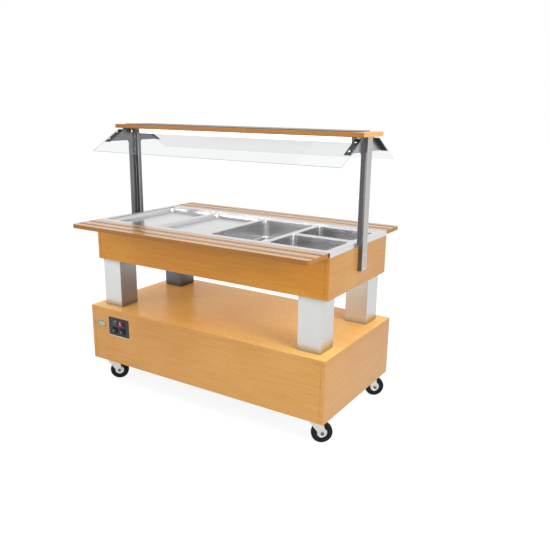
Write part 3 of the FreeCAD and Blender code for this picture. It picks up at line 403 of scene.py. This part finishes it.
def turned(label, profile, steps, materials, sort=None):
    """A lathe shape about the X axis from points of (x, radius)."""
    shape = bmesh.new()
    rings = []
    for x, radius in profile:
        if radius < 1e-6:
            rings.append([shape.verts.new((x, 0, 0))])
            continue
        rings.append([shape.verts.new((x, radius * math.cos(2 * math.pi * i / steps),
                                       radius * math.sin(2 * math.pi * i / steps)))
                      for i in range(steps)])
    for number, (low, high) in enumerate(zip(rings, rings[1:])):
        for i in range(steps):
            j = (i + 1) % steps
            corners = [low[i % len(low)], low[j % len(low)],
                       high[j % len(high)], high[i % len(high)]]
            face = shape.faces.new(list(dict.fromkeys(corners)))
            face.material_index = sort(number) if sort else 0
    return finish_mesh(shape, label, materials)


def mirrored(profile):
    """A lathe profile that ends short of x = 0, with its mirror image."""
    return profile + [(-x, radius) for x, radius in reversed(profile)]


def aim(mesh, centre, axis):
    """Turns a mesh made about +X so that it lies about an axis through a point."""
    turn = Vector((1, 0, 0)).rotation_difference(Vector(axis).normalized())
    mesh.transform(Matrix.Translation(Vector(centre)) @ turn.to_matrix().to_4x4())
    return mesh


def round_loop(shape, centre, half_x, half_y, z, radius, steps=8):
    """One rounded rectangle of vertices, level at z."""
    loop = []
    radius = min(radius, half_x, half_y)
    for quarter, (sx, sy) in enumerate(((1, 1), (-1, 1), (-1, -1), (1, -1))):
        for i in range(steps + 1):
            turn = math.pi / 2 * (quarter + i / steps)
            loop.append(shape.verts.new((
                centre[0] + sx * (half_x - radius) + radius * math.cos(turn),
                centre[1] + sy * (half_y - radius) + radius * math.sin(turn), z)))
    return loop


def bridge(shape, loops):
    """Joins each loop of vertices to the next, and closes the last."""
    for low, high in zip(loops, loops[1:]):
        for i in range(len(low)):
            j = (i + 1) % len(low)
            shape.faces.new((low[i], low[j], high[j], high[i]))
    shape.faces.new(loops[-1])


def slab(shape, low, high):
    """Adds a closed box between two corners to a mesh in the making."""
    made = bmesh.ops.create_cube(shape, size=1)["verts"]
    low, high = Vector(low), Vector(high)
    bmesh.ops.scale(shape, vec=high - low, verts=made)
    bmesh.ops.translate(shape, vec=(high + low) / 2, verts=made)


def chip(label, boxes, paint, body, slot, ease):
    """A small piece made of boxes, each given by two corners, that stands for no node."""
    shape = bmesh.new()
    for low, high in boxes:
        slab(shape, low, high)
    stand(label, finish_mesh(shape, label, [paint]), body, slot, (), ease)


def islands(shape):
    """The corner points of each loose part of a mesh, in the order of its vertices."""
    found, seen = [], set()
    for first in shape.verts:
        if first in seen:
            continue
        seen.add(first)
        stack, points = [first], []
        while stack:
            vert = stack.pop()
            points.append(vert.co.copy())
            for edge in vert.link_edges:
                other = edge.other_vert(vert)
                if other not in seen:
                    seen.add(other)
                    stack.append(other)
        found.append(points)
    return found


# ------------------------------------------------------------------ operators
class Dresser:
    bl_options = {"REGISTER", "UNDO"}

    @classmethod
    def poll(cls, context):
        return context.scene is not None


class SALADBAR_OT_stage(Dresser, bpy.types.Operator):
    """Sets the camera, the floor, the room light and the lamps"""
    bl_idname = "saladbar.stage"
    bl_label = "Stage"

    def execute(self, context):
        scene = context.scene
        stage = look("stage")
        self.view(scene)
        self.ground(scene, stage)
        self.room(scene, stage)
        self.lamp("key", (3.2, -0.9, 1.7), (0.6, 0, 0.6), 1.4, 1.2, stage.key_power)
        self.lamp("fill", (-2.6, -4.2, 1.3), (0, 0, 0.5), 2.6, 1.8, stage.fill_power)
        self.lamp("top", (0.2, 0.4, 4.2), (0, 0, 0.4), 3.4, 2.4, stage.top_power)
        return {"FINISHED"}

    @staticmethod
    def view(scene):
        """The camera that took the photo."""
        turn, rise, roll = (math.radians(angle) for angle in VIEW_ANGLES)
        back = Vector((math.sin(turn) * math.cos(rise), -math.cos(turn) * math.cos(rise),
                       math.sin(rise)))
        right = (-back).cross(Vector((0, 0, 1))).normalized()
        up = right.cross(-back)
        across = math.cos(roll) * right + math.sin(roll) * up
        above = -math.sin(roll) * right + math.cos(roll) * up
        lens = bpy.data.cameras.new("camera")
        lens.sensor_width = SENSOR_MM
        lens.lens = FOCAL_PIXELS * SENSOR_MM / PICTURE_PIXELS
        camera = bpy.data.objects.new("camera", lens)
        place = Matrix((across, above, back)).transposed().to_4x4()
        place.translation = EYE
        camera.matrix_world = place
        scene.collection.objects.link(camera)
        scene.camera = camera
        scene.view_settings.view_transform = "Standard"

    def ground(self, scene, stage):
        """The floor, half a millimetre under the wheels."""
        shape = bmesh.new()
        bmesh.ops.create_grid(shape, x_segments=1, y_segments=1, size=30)
        mesh = finish_mesh(shape, "floor", [self.floor_paint(stage)])
        floor = bpy.data.objects.new("floor", mesh)
        floor.location.z = -0.0005
        scene.collection.objects.link(floor)

    @staticmethod
    def room(scene, stage):
        """Even light, which the camera, mirrors and glass see as plain white."""
        world = bpy.data.worlds.new("room")
        scene.world = world
        world.use_nodes = True
        nodes, links = world.node_tree.nodes, world.node_tree.links
        room = nodes["Background"]
        room.inputs["Color"].default_value = WHITE
        room.inputs["Strength"].default_value = stage.world_level
        plain = nodes.new("ShaderNodeBackground")
        plain.inputs["Color"].default_value = WHITE
        path = nodes.new("ShaderNodeLightPath")
        seen = path.outputs["Is Camera Ray"]
        for ray in CAMERA_SEES:
            either = nodes.new("ShaderNodeMath")
            either.operation = "MAXIMUM"
            links.new(seen, either.inputs[0])
            links.new(path.outputs[ray], either.inputs[1])
            seen = either.outputs[0]
        blend = nodes.new("ShaderNodeMixShader")
        links.new(seen, blend.inputs[0])
        links.new(room.outputs[0], blend.inputs[1])
        links.new(plain.outputs[0], blend.inputs[2])
        links.new(blend.outputs[0], nodes["World Output"].inputs["Surface"])

    @staticmethod
    def floor_paint(stage):
        """White to the camera and in reflections, and darker in the light that it throws back."""
        paint = Paint("floor", roughness=0.9)
        path = paint.node("ShaderNodeLightPath").socket.node
        seen = Value(paint, path.outputs["Is Camera Ray"])
        for ray in CAMERA_SEES:
            seen = seen.maths("MAXIMUM", seen, Value(paint, path.outputs[ray]))
        paint.feed("Base Color", paint.mix(seen, (stage.bounce,) * 3, tuple(stage.floor)))
        glow = paint.node("ShaderNodeEmission", None, {"Color": WHITE, "Strength": 1.07})
        mixed = paint.node("ShaderNodeMixShader", None,
                           {0: seen * 0.8, 1: Value(paint, paint.shader.outputs[0]), 2: glow})
        paint.join(paint.nodes["Material Output"].inputs["Surface"], mixed)
        return paint.material

    @staticmethod
    def lamp(label, place, target, wide, tall, power):
        """A lamp with a rectangular face that looks at a target."""
        data = bpy.data.lights.new(label, "AREA")
        data.shape = "RECTANGLE"
        data.size, data.size_y = wide, tall
        data.energy = power
        lamp = bpy.data.objects.new(label, data)
        lamp.location = place
        lamp.rotation_mode = "QUATERNION"
        lamp.rotation_quaternion = (Vector(target) - Vector(place)).to_track_quat("-Z", "Y")
        bpy.context.scene.collection.objects.link(lamp)


class SALADBAR_OT_cabinet(Dresser, bpy.types.Operator):
    """Finishes the boards of the base and the tub"""
    bl_idname = "saladbar.cabinet"
    bl_label = "Base and tub boards"

    def execute(self, context):
        edge = look("cabinet").edge
        # The boards are one laminate; each face's tone lifts or deepens it as painted light and
        # shade: lighter on the top, deeper on the ends and the tub.
        front = laminate("laminate_front", "x", (0.86, 0.85, 0.71))
        side = laminate("laminate_end", "y", (0.64, 0.6, 0.42))
        top = laminate("laminate_top", "x", (1.5, 1.52, 1.3), 0.2, 0.16, 0.0)
        tub_front = laminate("laminate_tub", "x", (0.9, 0.78, 0.34), 0.3, 0.25, 0.05)
        tub_side = laminate("laminate_tub_end", "y", (0.63, 0.62, 0.52), 0.3, 0.3, 0.1)
        inside = painted("inside_white", tint("E9E6DF"), 0.5)
        for node in ("base_front_panel", "base_back_panel"):
            dress(node, front, edge)
        for node in ("tub_front_panel", "tub_back_panel"):
            dress(node, tub_front, edge)
        for node in ("base_floor_board", "tub_floor_board"):
            dress(node, inside, edge)
        for node in ("base_left_panel", "base_right_panel"):
            dress(node, [side, front], edge, sort=self.faces_front)
        for node in ("tub_left_panel", "tub_right_panel"):
            dress(node, [tub_side, tub_front], edge, sort=self.faces_front)
        dress("base_top_board", [top, side, front], edge,
              sort=lambda face: int(abs(face.normal.x) > 0.5) + 2 * self.faces_front(face))
        return {"FINISHED"}

    @staticmethod
    def faces_front(face):
        """1 for a face that looks to the front or the back."""
        return int(abs(face.normal.y) > 0.5)


class SALADBAR_OT_legs(Dresser, bpy.types.Operator):
    """Finishes the four square steel legs"""
    bl_idname = "saladbar.legs"
    bl_label = "Legs"

    def execute(self, context):
        steel = look("steel")
        low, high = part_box("legs")
        ends = (low.z, high.z, steel.foot)
        # the plain leg steel, and two tones of painted shade for the left legs' inner faces
        tones = [brushed("leg_" + label, shade, "z", 0.32, ends) for label, shade in (
            ("steel", steel.leg), ("steel_shaded", steel.shaded), ("steel_deep_shade", steel.deep))]
        dress("legs", tones, 0.0022, 3, self.looks_inward)
        return {"FINISHED"}

    @staticmethod
    def looks_inward(face):
        """1 or 2 for those faces of the front or back left leg that look in between the legs, which
        get painted shade.
        """
        middle = face.calc_center_median()
        outward = face.normal.x * middle.x + face.normal.y * middle.y
        if middle.x > 0 or outward > -0.1:
            return 0
        return 1 if middle.y < 0 else 2


class SALADBAR_OT_well(Dresser, bpy.types.Operator):
    """Finishes the steel rim, the liner and the divider bars"""
    bl_idname = "saladbar.well"
    bl_label = "Well"

    def execute(self, context):
        steel = brushed("rim_steel", look("steel").satin, "x", 0.26)
        dress("well_rim", steel, 0.0006)
        dress("well_liner", steel, 0.0006)
        dress("divider_bars", steel, 0.0008)
        foam = painted("foam", tint("E6D9A8"), 0.85, 0.0004)
        dress("insulation", foam, 0.0006)
        return {"FINISHED"}


PAN_LIP = 0.011  # the width of a pan's lip along its two sides
PAN_SHEET = 0.0015
PAN_WALL = 0.0014  # how far the wall stands in from the lip
# Round a pan's lip: the inset as a share of the lip, the height over the ledge, the corner radius
LIP_LOOPS = (
    (0.03, 0.0002, 0.008), (0.0, 0.0007, 0.008), (0.03, 0.0012, 0.008), (0.10, 0.0015, 0.009),
    (0.72, 0.0015, 0.024), (0.86, 0.0012, 0.026), (0.97, 0.0002, 0.027), (1.06, -0.002, 0.027))
# Down its wall: the inset, the depth as a share of the whole, the corner radius
WALL_LOOPS = ((0.0008, 0.5, 0.027), (0.0016, 0.86, 0.026))
# Round its bottom: the inset, the height over the bottom
BOTTOM_LOOPS = ((0.003, 0.006), (0.0055, 0.0026), (0.010, 0.0008), (0.016, 0.0003))


class SALADBAR_OT_pans(Dresser, bpy.types.Operator):
    """Makes the drawn steel trays and pans, with rolled edges and round corners"""
    bl_idname = "saladbar.pans"
    bl_label = "Trays and pans"

    def execute(self, context):
        steel = brushed("pan_steel", look("steel").satin, "y", 0.22)
        for node, end_lip in (("tray_left", 0.015), ("tray_middle", 0.015), ("pan_full", 0.015),
                              ("pan_half_front", 0.0135), ("pan_half_back", 0.0135)):
            self.shell(node, end_lip, steel)
        return {"FINISHED"}

    @staticmethod
    def shell(node, end_lip, steel):
        """One drawn pan. end_lip is the width of its lip at the front and the back."""
        low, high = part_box(node)
        centre = ((low.x + high.x) / 2, (low.y + high.y) / 2)
        half_x, half_y = (high.x - low.x) / 2, (high.y - low.y) / 2
        ledge = high.z - PAN_SHEET
        shape = bmesh.new()
        loops = []
        for share, rise, radius in LIP_LOOPS:
            loops.append(round_loop(shape, centre, half_x - PAN_LIP * share,
                                    half_y - end_lip * share, ledge + rise, radius))
        wall_x, wall_y = half_x - PAN_LIP - PAN_WALL, half_y - end_lip - PAN_WALL
        deep = low.z + 0.0004 - ledge
        for inset, share, radius in WALL_LOOPS:
            loops.append(round_loop(shape, centre, wall_x - inset, wall_y - inset,
                                    ledge + deep * share, radius))
        for inset, lift in BOTTOM_LOOPS:
            loops.append(round_loop(shape, centre, wall_x - inset, wall_y - inset,
                                    ledge + deep + lift, 0.025))
        bridge(shape, loops)
        stand("drawn_" + node, finish_mesh(shape, node, [steel]), frame["nodes"][node]["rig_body"],
              SLOT_OF[node], (node,))


class SALADBAR_OT_shelves(Dresser, bpy.types.Operator):
    """Finishes the two tray shelves, their strips, arms and hinge consoles"""
    bl_idname = "saladbar.shelves"
    bl_label = "Tray shelves"

    def execute(self, context):
        # One laminate: the deeper tone on the shelf's edges and underside is painted shade.
        wood = laminate("laminate_shelf", "x", (0.78, 0.7, 0.5), 0.24, 0.5, 0.4)
        rind = laminate("laminate_shelf_edge", "x", (0.5, 0.45, 0.3), 0.4, 0.2, 0.0)
        strip = brushed("strip_steel", look("steel").strip, "x", 0.3)
        steel = brushed("arm_steel", look("steel").zinc, "y", 0.35)
        for side in ("front", "back"):
            board = "shelf_%s_board" % side
            dress(board, [wood, rind], 0.0028, 3, lambda face: int(face.normal.z < 0.5))
            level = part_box(board)[0].z
            dress("shelf_%s_steel" % side, [strip, steel], 0.0006,
                  sort=lambda face: int(face.calc_center_median().z < level + 0.001))
        dress("hinge_consoles", steel, 0.0006)
        return {"FINISHED"}


POST_WEB_HALF = 0.0262  # half the width of a post's web, which the flanges pass
# the folds' tone is a painted highlight
FOLD_HIGHLIGHT = 3  # the place of the folds' tone in a post's materials
CUT_EDGE = 0.1  # the share of the fold radius that an edge gets which isn't folded
# The folds' places, as distances from the middle in x and y, and their share of the fold radius
POST_FOLDS = {(0.696, 0.023): 1.0, (0.718, 0.025): 1.0, (0.698, 0.025): 0.45, (0.716, 0.023): 0.45}


class SALADBAR_OT_posts(Dresser, bpy.types.Operator):
    """Finishes the folded steel posts"""
    bl_idname = "saladbar.posts"
    bl_label = "Posts"

    def execute(self, context):
        steel = look("steel")
        tones = [brushed("post_" + label, shade, "z", 0.3) for label, shade in (
            ("web", steel.post), ("flange", steel.flange), ("recess", steel.recess),
            ("bend", steel.bend))]
        for node in ("post_left", "post_right"):
            post = dress(node, tones, steel.bend_radius, 3, self.side_of, self.fold)
            # the eased folds take the painted highlight
            post.modifiers["eased_edges"].material = FOLD_HIGHLIGHT
        return {"FINISHED"}

    @staticmethod
    def side_of(face):
        """0 the outer web and 1 a flange or gusset, in painted light; 2 a side wall or the inside
        of the channel, in painted shade.
        """
        middle = face.calc_center_median()
        if abs(middle.y) > POST_WEB_HALF:
            return 1
        return 0 if face.normal.x * middle.x > 0.001 else 2

    @staticmethod
    def fold(edge):
        """The full radius for a long outer fold, less for an inner one, little for a cut edge."""
        start, end = (vert.co for vert in edge.verts)
        upright = (start - end).xy.length <= 1e-5
        if not upright or (start - end).length < 0.05:
            return CUT_EDGE
        return POST_FOLDS.get((round(abs(start.x), 3), round(abs(start.y), 3)), CUT_EDGE)


PANE_ALPHA = 0.095
EDGE_ALPHA = 0.55  # of a polished edge that catches the light
# FAINT_ALPHA is the same polished edge where it catches no light: the strong and faint edges are
# painted light and shade.
FAINT_ALPHA = 0.12
PANE_FACE = 0.05  # a face of more square metres than this is a face of the pane
PANE_MIDDLE = 1.3  # a height between the pane's lower and upper edges
GLASS_SCREWS = 1.2  # the screws above this height hold the glass
GLASS_SLOPE = Vector((0, 110, 192)).normalized()  # the way a glass screw's head points at the back


class SALADBAR_OT_canopy(Dresser, bpy.types.Operator):
    """Finishes the canopy board, its plate, the lamp, the glass and what holds it"""
    bl_idname = "saladbar.canopy"
    bl_label = "Canopy, lamp and glass"

    def execute(self, context):
        canopy = look("canopy")
        # One laminate: the deeper tone on the front and back faces and the lighter one on the ends,
        # top and underside are painted shade and light.
        wood = laminate("laminate_canopy", "x", (0.58, 0.45, 0.22), 0.3, 0.2, 0.05)
        ends = laminate("laminate_canopy_end", "y", (0.9, 0.86, 0.66), 0.26, 0.3, 0.1)
        dress("canopy_board", [wood, ends], 0.0015,
              sort=lambda face: int(abs(face.normal.y) < 0.5))
        dress("canopy_top_plate", brushed("canopy_plate", canopy.plate, "x", 0.3), 0.0006)
        dress("lamp_body", painted("lamp_ends", tint("7F8791"), 0.4), 0.0015)
        dress("lamp_diffuser", lit("lamp_glow", tint("FBFDFF"), canopy.lamp), 0.0008)
        black = painted("support_black", tint("0B0B0C"), 0.45, shine=0.15)
        dress("glass_supports", black, 0.0004)
        glass = [self.glass("pane", canopy.pane, PANE_ALPHA),
                 self.glass("pane_edge", canopy.pane_edge, EDGE_ALPHA),
                 self.glass("pane_edge_faint", canopy.pane_edge, FAINT_ALPHA)]
        dress("glass_front", glass, 0.0006, 1, self.pane_side)
        dress("glass_back", glass, 0.0006, 1, self.back_pane_side)
        self.screws()
        return {"FINISHED"}

    @staticmethod
    def pane_side(face):
        """0 a face of the pane, 1 an end or the lower edge, painted as catching the light, 2 the
        upper edge under the board, painted faint.
        """
        if face.calc_area() > PANE_FACE:
            return 0
        low = face.calc_center_median().z < PANE_MIDDLE
        return 1 if abs(face.normal.x) > 0.5 or low else 2

    @classmethod
    def back_pane_side(cls, face):
        """As pane_side, but only the right end catches the light."""
        side = cls.pane_side(face)
        return 2 if side == 1 and face.normal.x < 0.5 else side

    @staticmethod
    def glass(label, shade, alpha):
        """Clear glass with a faint cloud in its tint."""
        paint = Paint(label, roughness=0.03)
        cloud = paint.noise((3, 3, 3), 1.0, 0.5)
        paint.feed("Base Color", paint.mix(cloud, tuple(c * 0.96 for c in shade), tuple(shade)))
        paint.feed("Alpha", alpha)
        paint.feed("Coat Weight", 0.6)
        paint.feed("Coat Roughness", 0.02)
        return paint.material

    @staticmethod
    def screws():
        """Domed heads whose dark top is painted shade for a recess, each on the place of its solid.
        """
        steel = brushed("screw_steel", tint("DADADA"), "x", 0.3)
        # painted shade where a head's recess would be
        recess = painted("screw_recess_shade", tint("202020"), 0.6)
        shape = bmesh.new()
        shape.from_mesh(frame["nodes"]["screws"].data)
        bmesh.ops.remove_doubles(shape, verts=shape.verts, dist=WELD)
        screws = islands(shape)
        shape.free()
        heads = bmesh.new()
        for points in screws:
            low = Vector([min(point[i] for point in points) for i in range(3)])
            high = Vector([max(point[i] for point in points) for i in range(3)])
            middle = (low + high) / 2
            if middle.z > GLASS_SCREWS:
                axis = Vector((0, math.copysign(GLASS_SLOPE.y, middle.y), GLASS_SLOPE.z))
                radius, tall = 0.006, 0.0025
            else:
                axis = Vector((math.copysign(1, middle.x), 0, 0))
                radius, tall = (high.z - low.z) / 2, high.x - low.x
            dome = [(0, radius), (tall * 0.35, radius), (tall * 0.7, radius * 0.86),
                    (tall * 0.93, radius * 0.55), (tall, radius * 0.3), (tall, 0)]
            last_ring = len(dome) - 2
            mesh = turned("head", dome, 24, [steel, recess], lambda ring: int(ring == last_ring))
            heads.from_mesh(aim(mesh, middle - axis * tall / 2, axis))
        stand("screw_heads", finish_mesh(heads, "screw_heads", [steel, recess]), "cart", "zinc",
              ("screws",))


BOLT_FROM = 0.0212  # how far out from the wheel's middle the axle bolt's head and nut start
BOLT_REACH = 0.0095  # how far from the axle's line a face of theirs can be
# One half of the tyre from its side wall to the middle of its tread, as (x, radius)
TYRE_TREAD = [(-0.0149, 0.036), (-0.0147, 0.042), (-0.0138, 0.0462), (-0.0118, 0.0485),
              (-0.0085, 0.0496), (-0.004, 0.0500)]
# One half of the hub disc from the axle out to its rim, as (x, radius)
HUB_DISC = [(-0.0170, 0.0052), (-0.0170, 0.0095), (-0.0160, 0.0110), (-0.0128, 0.0118),
            (-0.0118, 0.0135), (-0.0114, 0.0190), (-0.0118, 0.0212), (-0.0128, 0.0222)]


class SALADBAR_OT_casters(Dresser, bpy.types.Operator):
    """Makes the caster wheels and finishes the forks, plates and brake pedals"""
    bl_idname = "saladbar.casters"
    bl_label = "Casters"

    def execute(self, context):
        zinc = brushed("zinc_plate", look("steel").zinc, "z", 0.34)
        black = painted("pedal_black", tint("161616"), 0.5)
        casters = look("casters")
        rubber = painted("tyre_rubber", casters.tyre, 0.7, 0.0001, 0.2)
        bolt = brushed("axle_bolt", casters.bolt, "x", 0.4)
        dress("caster_plates", zinc, 0.0005)
        prefix = "wheel_roll_"
        for joint in frame["joints"]:
            if not joint["name"].startswith(prefix):
                continue
            corner = joint["name"][len(prefix):]
            centre, axis = joint["pos_m"], joint["axis"]
            self.wheel(corner, centre, axis, casters, rubber, zinc)
            dress("fork_" + corner, [zinc, bolt], 0.0006, sort=self.on_bolt(centre, axis))
        for corner in ("front_left", "back_left"):
            dress("pedal_" + corner, black, 0.0012, 3)
        return {"FINISHED"}

    @staticmethod
    def on_bolt(centre, axis):
        """Tells the axle bolt's head and nut from the fork's cheeks."""
        centre, axis = Vector(centre), Vector(axis).normalized()

        def sort(face):
            offset = face.calc_center_median() - centre
            along = offset.dot(axis)
            return int(abs(along) > BOLT_FROM and (offset - along * axis).length < BOLT_REACH)
        return sort

    @staticmethod
    def wheel(corner, centre, axis, casters, rubber, zinc):
        """A tyre and its hub disc, about the wheel's axle."""
        hub = casters.hub
        tyre = [(-0.0105, hub - 0.001), (-0.0118, hub + 0.0015), (-0.0128, hub + 0.005),
                (-0.0145, hub + 0.0075), *TYRE_TREAD]
        disc = [*HUB_DISC, (-0.0128, hub - 0.0006), (-0.0116, hub), (-0.0100, hub)]
        for label, profile, paint, slot in (("tyre_" + corner, tyre, rubber, "tyre_black"),
                                            ("hub_" + corner, disc, zinc, "zinc")):
            mesh = turned(label, mirrored(profile), casters.steps, [paint])
            stand(label, aim(mesh, centre, axis), "caster_wheel_" + corner, slot,
                  ("wheel_" + corner,))


SHEET_FACE = 0.003  # a face of more square metres than this is the control plate's own
FRAME_REACH = 0.0045  # how far a switch's frame reaches past its rocker
FIGURE_X = -0.5060  # the middle of the lit figure
READY_X = -0.5400  # the middle of the small lamp
# The strokes of the figure: places across and up, in half widths and half heights
STROKES = ((0, 1), (-1, 0.5), (0, 0), (1, -0.5), (0, -1))
BADGE_X, BADGE_Z = -0.649, 0.338  # the middle of the oval plate
BADGE_HALF_X, BADGE_HALF_Z = 0.035, 0.0168
BADGE_STEPS = 64


class SALADBAR_OT_controls(Dresser, bpy.types.Operator):
    """Finishes the control plate, the controller, its display, keys and rockers"""
    bl_idname = "saladbar.controls"
    bl_label = "Controls"

    def execute(self, context):
        controls = look("controls")
        plate = painted("control_sheet", controls.plate, 0.5, shine=0.25)
        bezel = painted("bezel", tint("2B2D30"), 0.5)
        key = painted("key_cap", tint("44474B"), 0.5)
        gloss = painted("rocker_gloss", tint("070708"), 0.3, shine=0.2)
        dress("control_plate", [plate, gloss], 0.0004, sort=self.in_switch_frame)
        for node, paint, ease in (
                ("temperature_controller", bezel, 0.0006), ("key_up", key, 0.0006),
                ("key_down", key, 0.0006), ("power_rocker", gloss, 0.0008),
                ("light_rocker", gloss, 0.0008)):
            dress(node, paint, ease)
        self.display(controls)
        self.marks()
        self.trim(controls)
        self.badge(controls)
        return {"FINISHED"}

    @staticmethod
    def in_switch_frame(face):
        """1 for the faces of the two black frames that hold the rockers."""
        middle = face.calc_center_median()
        if abs(face.normal.y) > 0.5 and face.calc_area() > SHEET_FACE:
            return 0
        for node in ("power_rocker", "light_rocker"):
            low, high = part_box(node)
            if all(low[i] - FRAME_REACH < middle[i] < high[i] + FRAME_REACH for i in (0, 2)):
                return 1
        return 0

    @staticmethod
    def marks():
        """Two small marks on each rocker and one on each key."""
        white = painted("mark_white", tint("FAFCFA"), 0.5)
        grey = painted("mark_grey", tint("A4AAA6"), 0.5)
        for node, body in (("power_rocker", "power_switch"), ("light_rocker", "light_switch")):
            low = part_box(node)[0]
            for paint, rise, depth, half in ((grey, 0.0132, 0.0030, 0.0013),
                                             (white, 0.0036, 0.0040, 0.0021)):
                box = ((low.x + 0.0012, low.y + depth - 0.0004, low.z + rise - half),
                       (low.x + 0.0052, low.y + depth + 0.0006, low.z + rise + half))
                chip(paint.name + "_" + body, [box], paint, body, "switch_black", 0.0002)
        for node in ("key_up", "key_down"):
            low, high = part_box(node)
            middle = (low + high) / 2
            box = ((middle.x - 0.0022, low.y - 0.0003, middle.z - 0.0009),
                   (middle.x + 0.0022, low.y + 0.0003, middle.z + 0.0009))
            chip("mark_" + node, [box], grey, frame["nodes"][node]["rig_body"], "switch_black",
                 0.0002)

    @staticmethod
    def trim(controls):
        """A thin bright strip that shows past the left and lower edges of the control plate: a
        painted highlight of its edges.
        """
        low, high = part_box("control_plate")
        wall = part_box("base_front_panel")[0].y
        bright = painted("edge_highlight_paint", controls.trim, 0.35)
        box = ((low.x - 0.0022, wall - 0.0009, low.z - 0.0034),
               (high.x, wall - 0.0001, high.z - 0.0020))
        chip("plate_edge_highlight", [box], bright, "cart", "brushed_steel", 0.0003)

    @staticmethod
    def display(controls):
        """A dark window with one lit seven-segment figure, a painted glow of that figure on the
        window, and a small green lamp.
        """
        low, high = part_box("temperature_controller")
        window = painted("display_window", tint("0C0506"), 0.2, shine=0.2)
        # painted glow of the figure on its window
        halo = lit("display_halo", controls.halo, 0.3)
        figure = lit("display_figure", controls.digits, 2.2)
        lamp = lit("ready_lamp", tint("2FD08A"), 1.6)
        face_y = low.y
        middle = (low.z + high.z) / 2

        def box(x, z, half_x, half_z, near, far):
            """A box about a place on the face, from near to far behind the face."""
            return ((x - half_x, face_y + near, z - half_z), (x + half_x, face_y + far, z + half_z))

        pieces = (
            ("display_window", [box(FIGURE_X, middle, 0.0225, 0.0125, 0.0006, 0.0030)], window,
             0.0004),
            ("display_halo", [box(FIGURE_X, middle, 0.0125, 0.0122, 0.0003, 0.0012)], halo, 0.0004),
            ("display_figure", [
                box(FIGURE_X + across * 0.0038, middle + up * 0.0085,
                    0.0030 if across == 0 else 0.0009, 0.0009 if across == 0 else 0.0034,
                    0.0001, 0.0005) for across, up in STROKES], figure, 0.0002))
        for label, boxes, paint, ease in pieces:
            chip(label, boxes, paint, "cart", "bezel_grey", ease)
        dome = [(0, 0.0022), (0.0004, 0.0021), (0.0009, 0.0014), (0.0011, 0)]
        mesh = turned("ready_lamp", dome, 20, [lamp])
        stand("ready_lamp", aim(mesh, (READY_X, face_y, middle + 0.0085), (0, -1, 0)), "cart",
              "bezel_grey")

    @staticmethod
    def badge(controls):
        """A plain oval plate with a raised edge, and nothing on it."""
        face_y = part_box("base_front_panel")[0].y
        field = painted("badge_field", controls.badge, 0.4)
        ring = painted("badge_ring", controls.badge_rim, 0.4)
        turns = [2 * math.pi * i / BADGE_STEPS for i in range(BADGE_STEPS)]
        shape = bmesh.new()
        loops = []
        for share, rise in ((1.0, 0), (1.0, 0.0010), (0.97, 0.0014), (0.82, 0.0014),
                            (0.78, 0.0009)):
            loops.append([shape.verts.new((BADGE_X + BADGE_HALF_X * share * math.cos(turn),
                                           face_y - rise,
                                           BADGE_Z + BADGE_HALF_Z * share * math.sin(turn)))
                          for turn in turns])
        bridge(shape, loops)
        for face in shape.faces:
            face.material_index = int(len(face.verts) < BADGE_STEPS)
        stand("oval_plate", finish_mesh(shape, "oval_plate", [field, ring]), "cart",
              "brushed_steel")


class SALADBAR_OT_cooling(Dresser, bpy.types.Operator):
    """Finishes the louvred panel, the mains socket and the cooling unit behind it"""
    bl_idname = "saladbar.cooling"
    bl_label = "Cooling unit"

    def execute(self, context):
        dress("service_panel", brushed("service_steel", look("steel").satin, "x", 0.32), 0.0004)
        dress("mains_inlet", painted("inlet_black", tint("121213"), 0.4), 0.0006)
        dress("compressor", painted("compressor_black", tint("141415"), 0.35), 0.002, 3)
        dress("condenser", brushed("fin_aluminium", tint("B8B9BA"), "z", 0.35), 0.0002, 1)
        dress("fan_shroud", painted("shroud_black", tint("1A1A1B"), 0.5), 0.0008)
        dress("fan_blade", painted("fan_grey", tint("55575A"), 0.5), 0.0006)
        dress("pipework", brushed("copper_tube", tint("B8764A"), "z", 0.3), 0.0003, 1)
        return {"FINISHED"}


OPERATORS = (
    SALADBAR_OT_stage, SALADBAR_OT_cabinet, SALADBAR_OT_legs, SALADBAR_OT_well, SALADBAR_OT_pans,
    SALADBAR_OT_shelves, SALADBAR_OT_posts, SALADBAR_OT_canopy, SALADBAR_OT_casters,
    SALADBAR_OT_controls, SALADBAR_OT_cooling,
)


class VIEW3D_PT_saladbar(bpy.types.Panel):
    """Lists what dresses the salad bar"""
    bl_label = "Salad Bar"
    bl_space_type = "VIEW_3D"
    bl_region_type = "UI"
    bl_category = "Salad Bar"

    def draw(self, context):
        for group in LOOKS:
            box = self.layout.box()
            box.label(text=group.title())
            for name in LOOKS[group].__annotations__:
                box.prop(look(group), name)
        for operator in OPERATORS:
            self.layout.operator(operator.bl_idname)


def register():
    for group, kind in LOOKS.items():
        bpy.utils.register_class(kind)
        setattr(bpy.types.Scene, "salad_bar_" + group, PointerProperty(type=kind))
    for kind in (*OPERATORS, VIEW3D_PT_saladbar):
        bpy.utils.register_class(kind)


def unregister():
    for kind in (VIEW3D_PT_saladbar, *reversed(OPERATORS)):
        bpy.utils.unregister_class(kind)
    for group, kind in reversed(LOOKS.items()):
        delattr(bpy.types.Scene, "salad_bar_" + group)
        bpy.utils.unregister_class(kind)


def main():
    register()
    for operator in OPERATORS:
        getattr(bpy.ops.saladbar, operator.bl_idname.split(".")[1])()


if __name__ == "__main__":
    main()
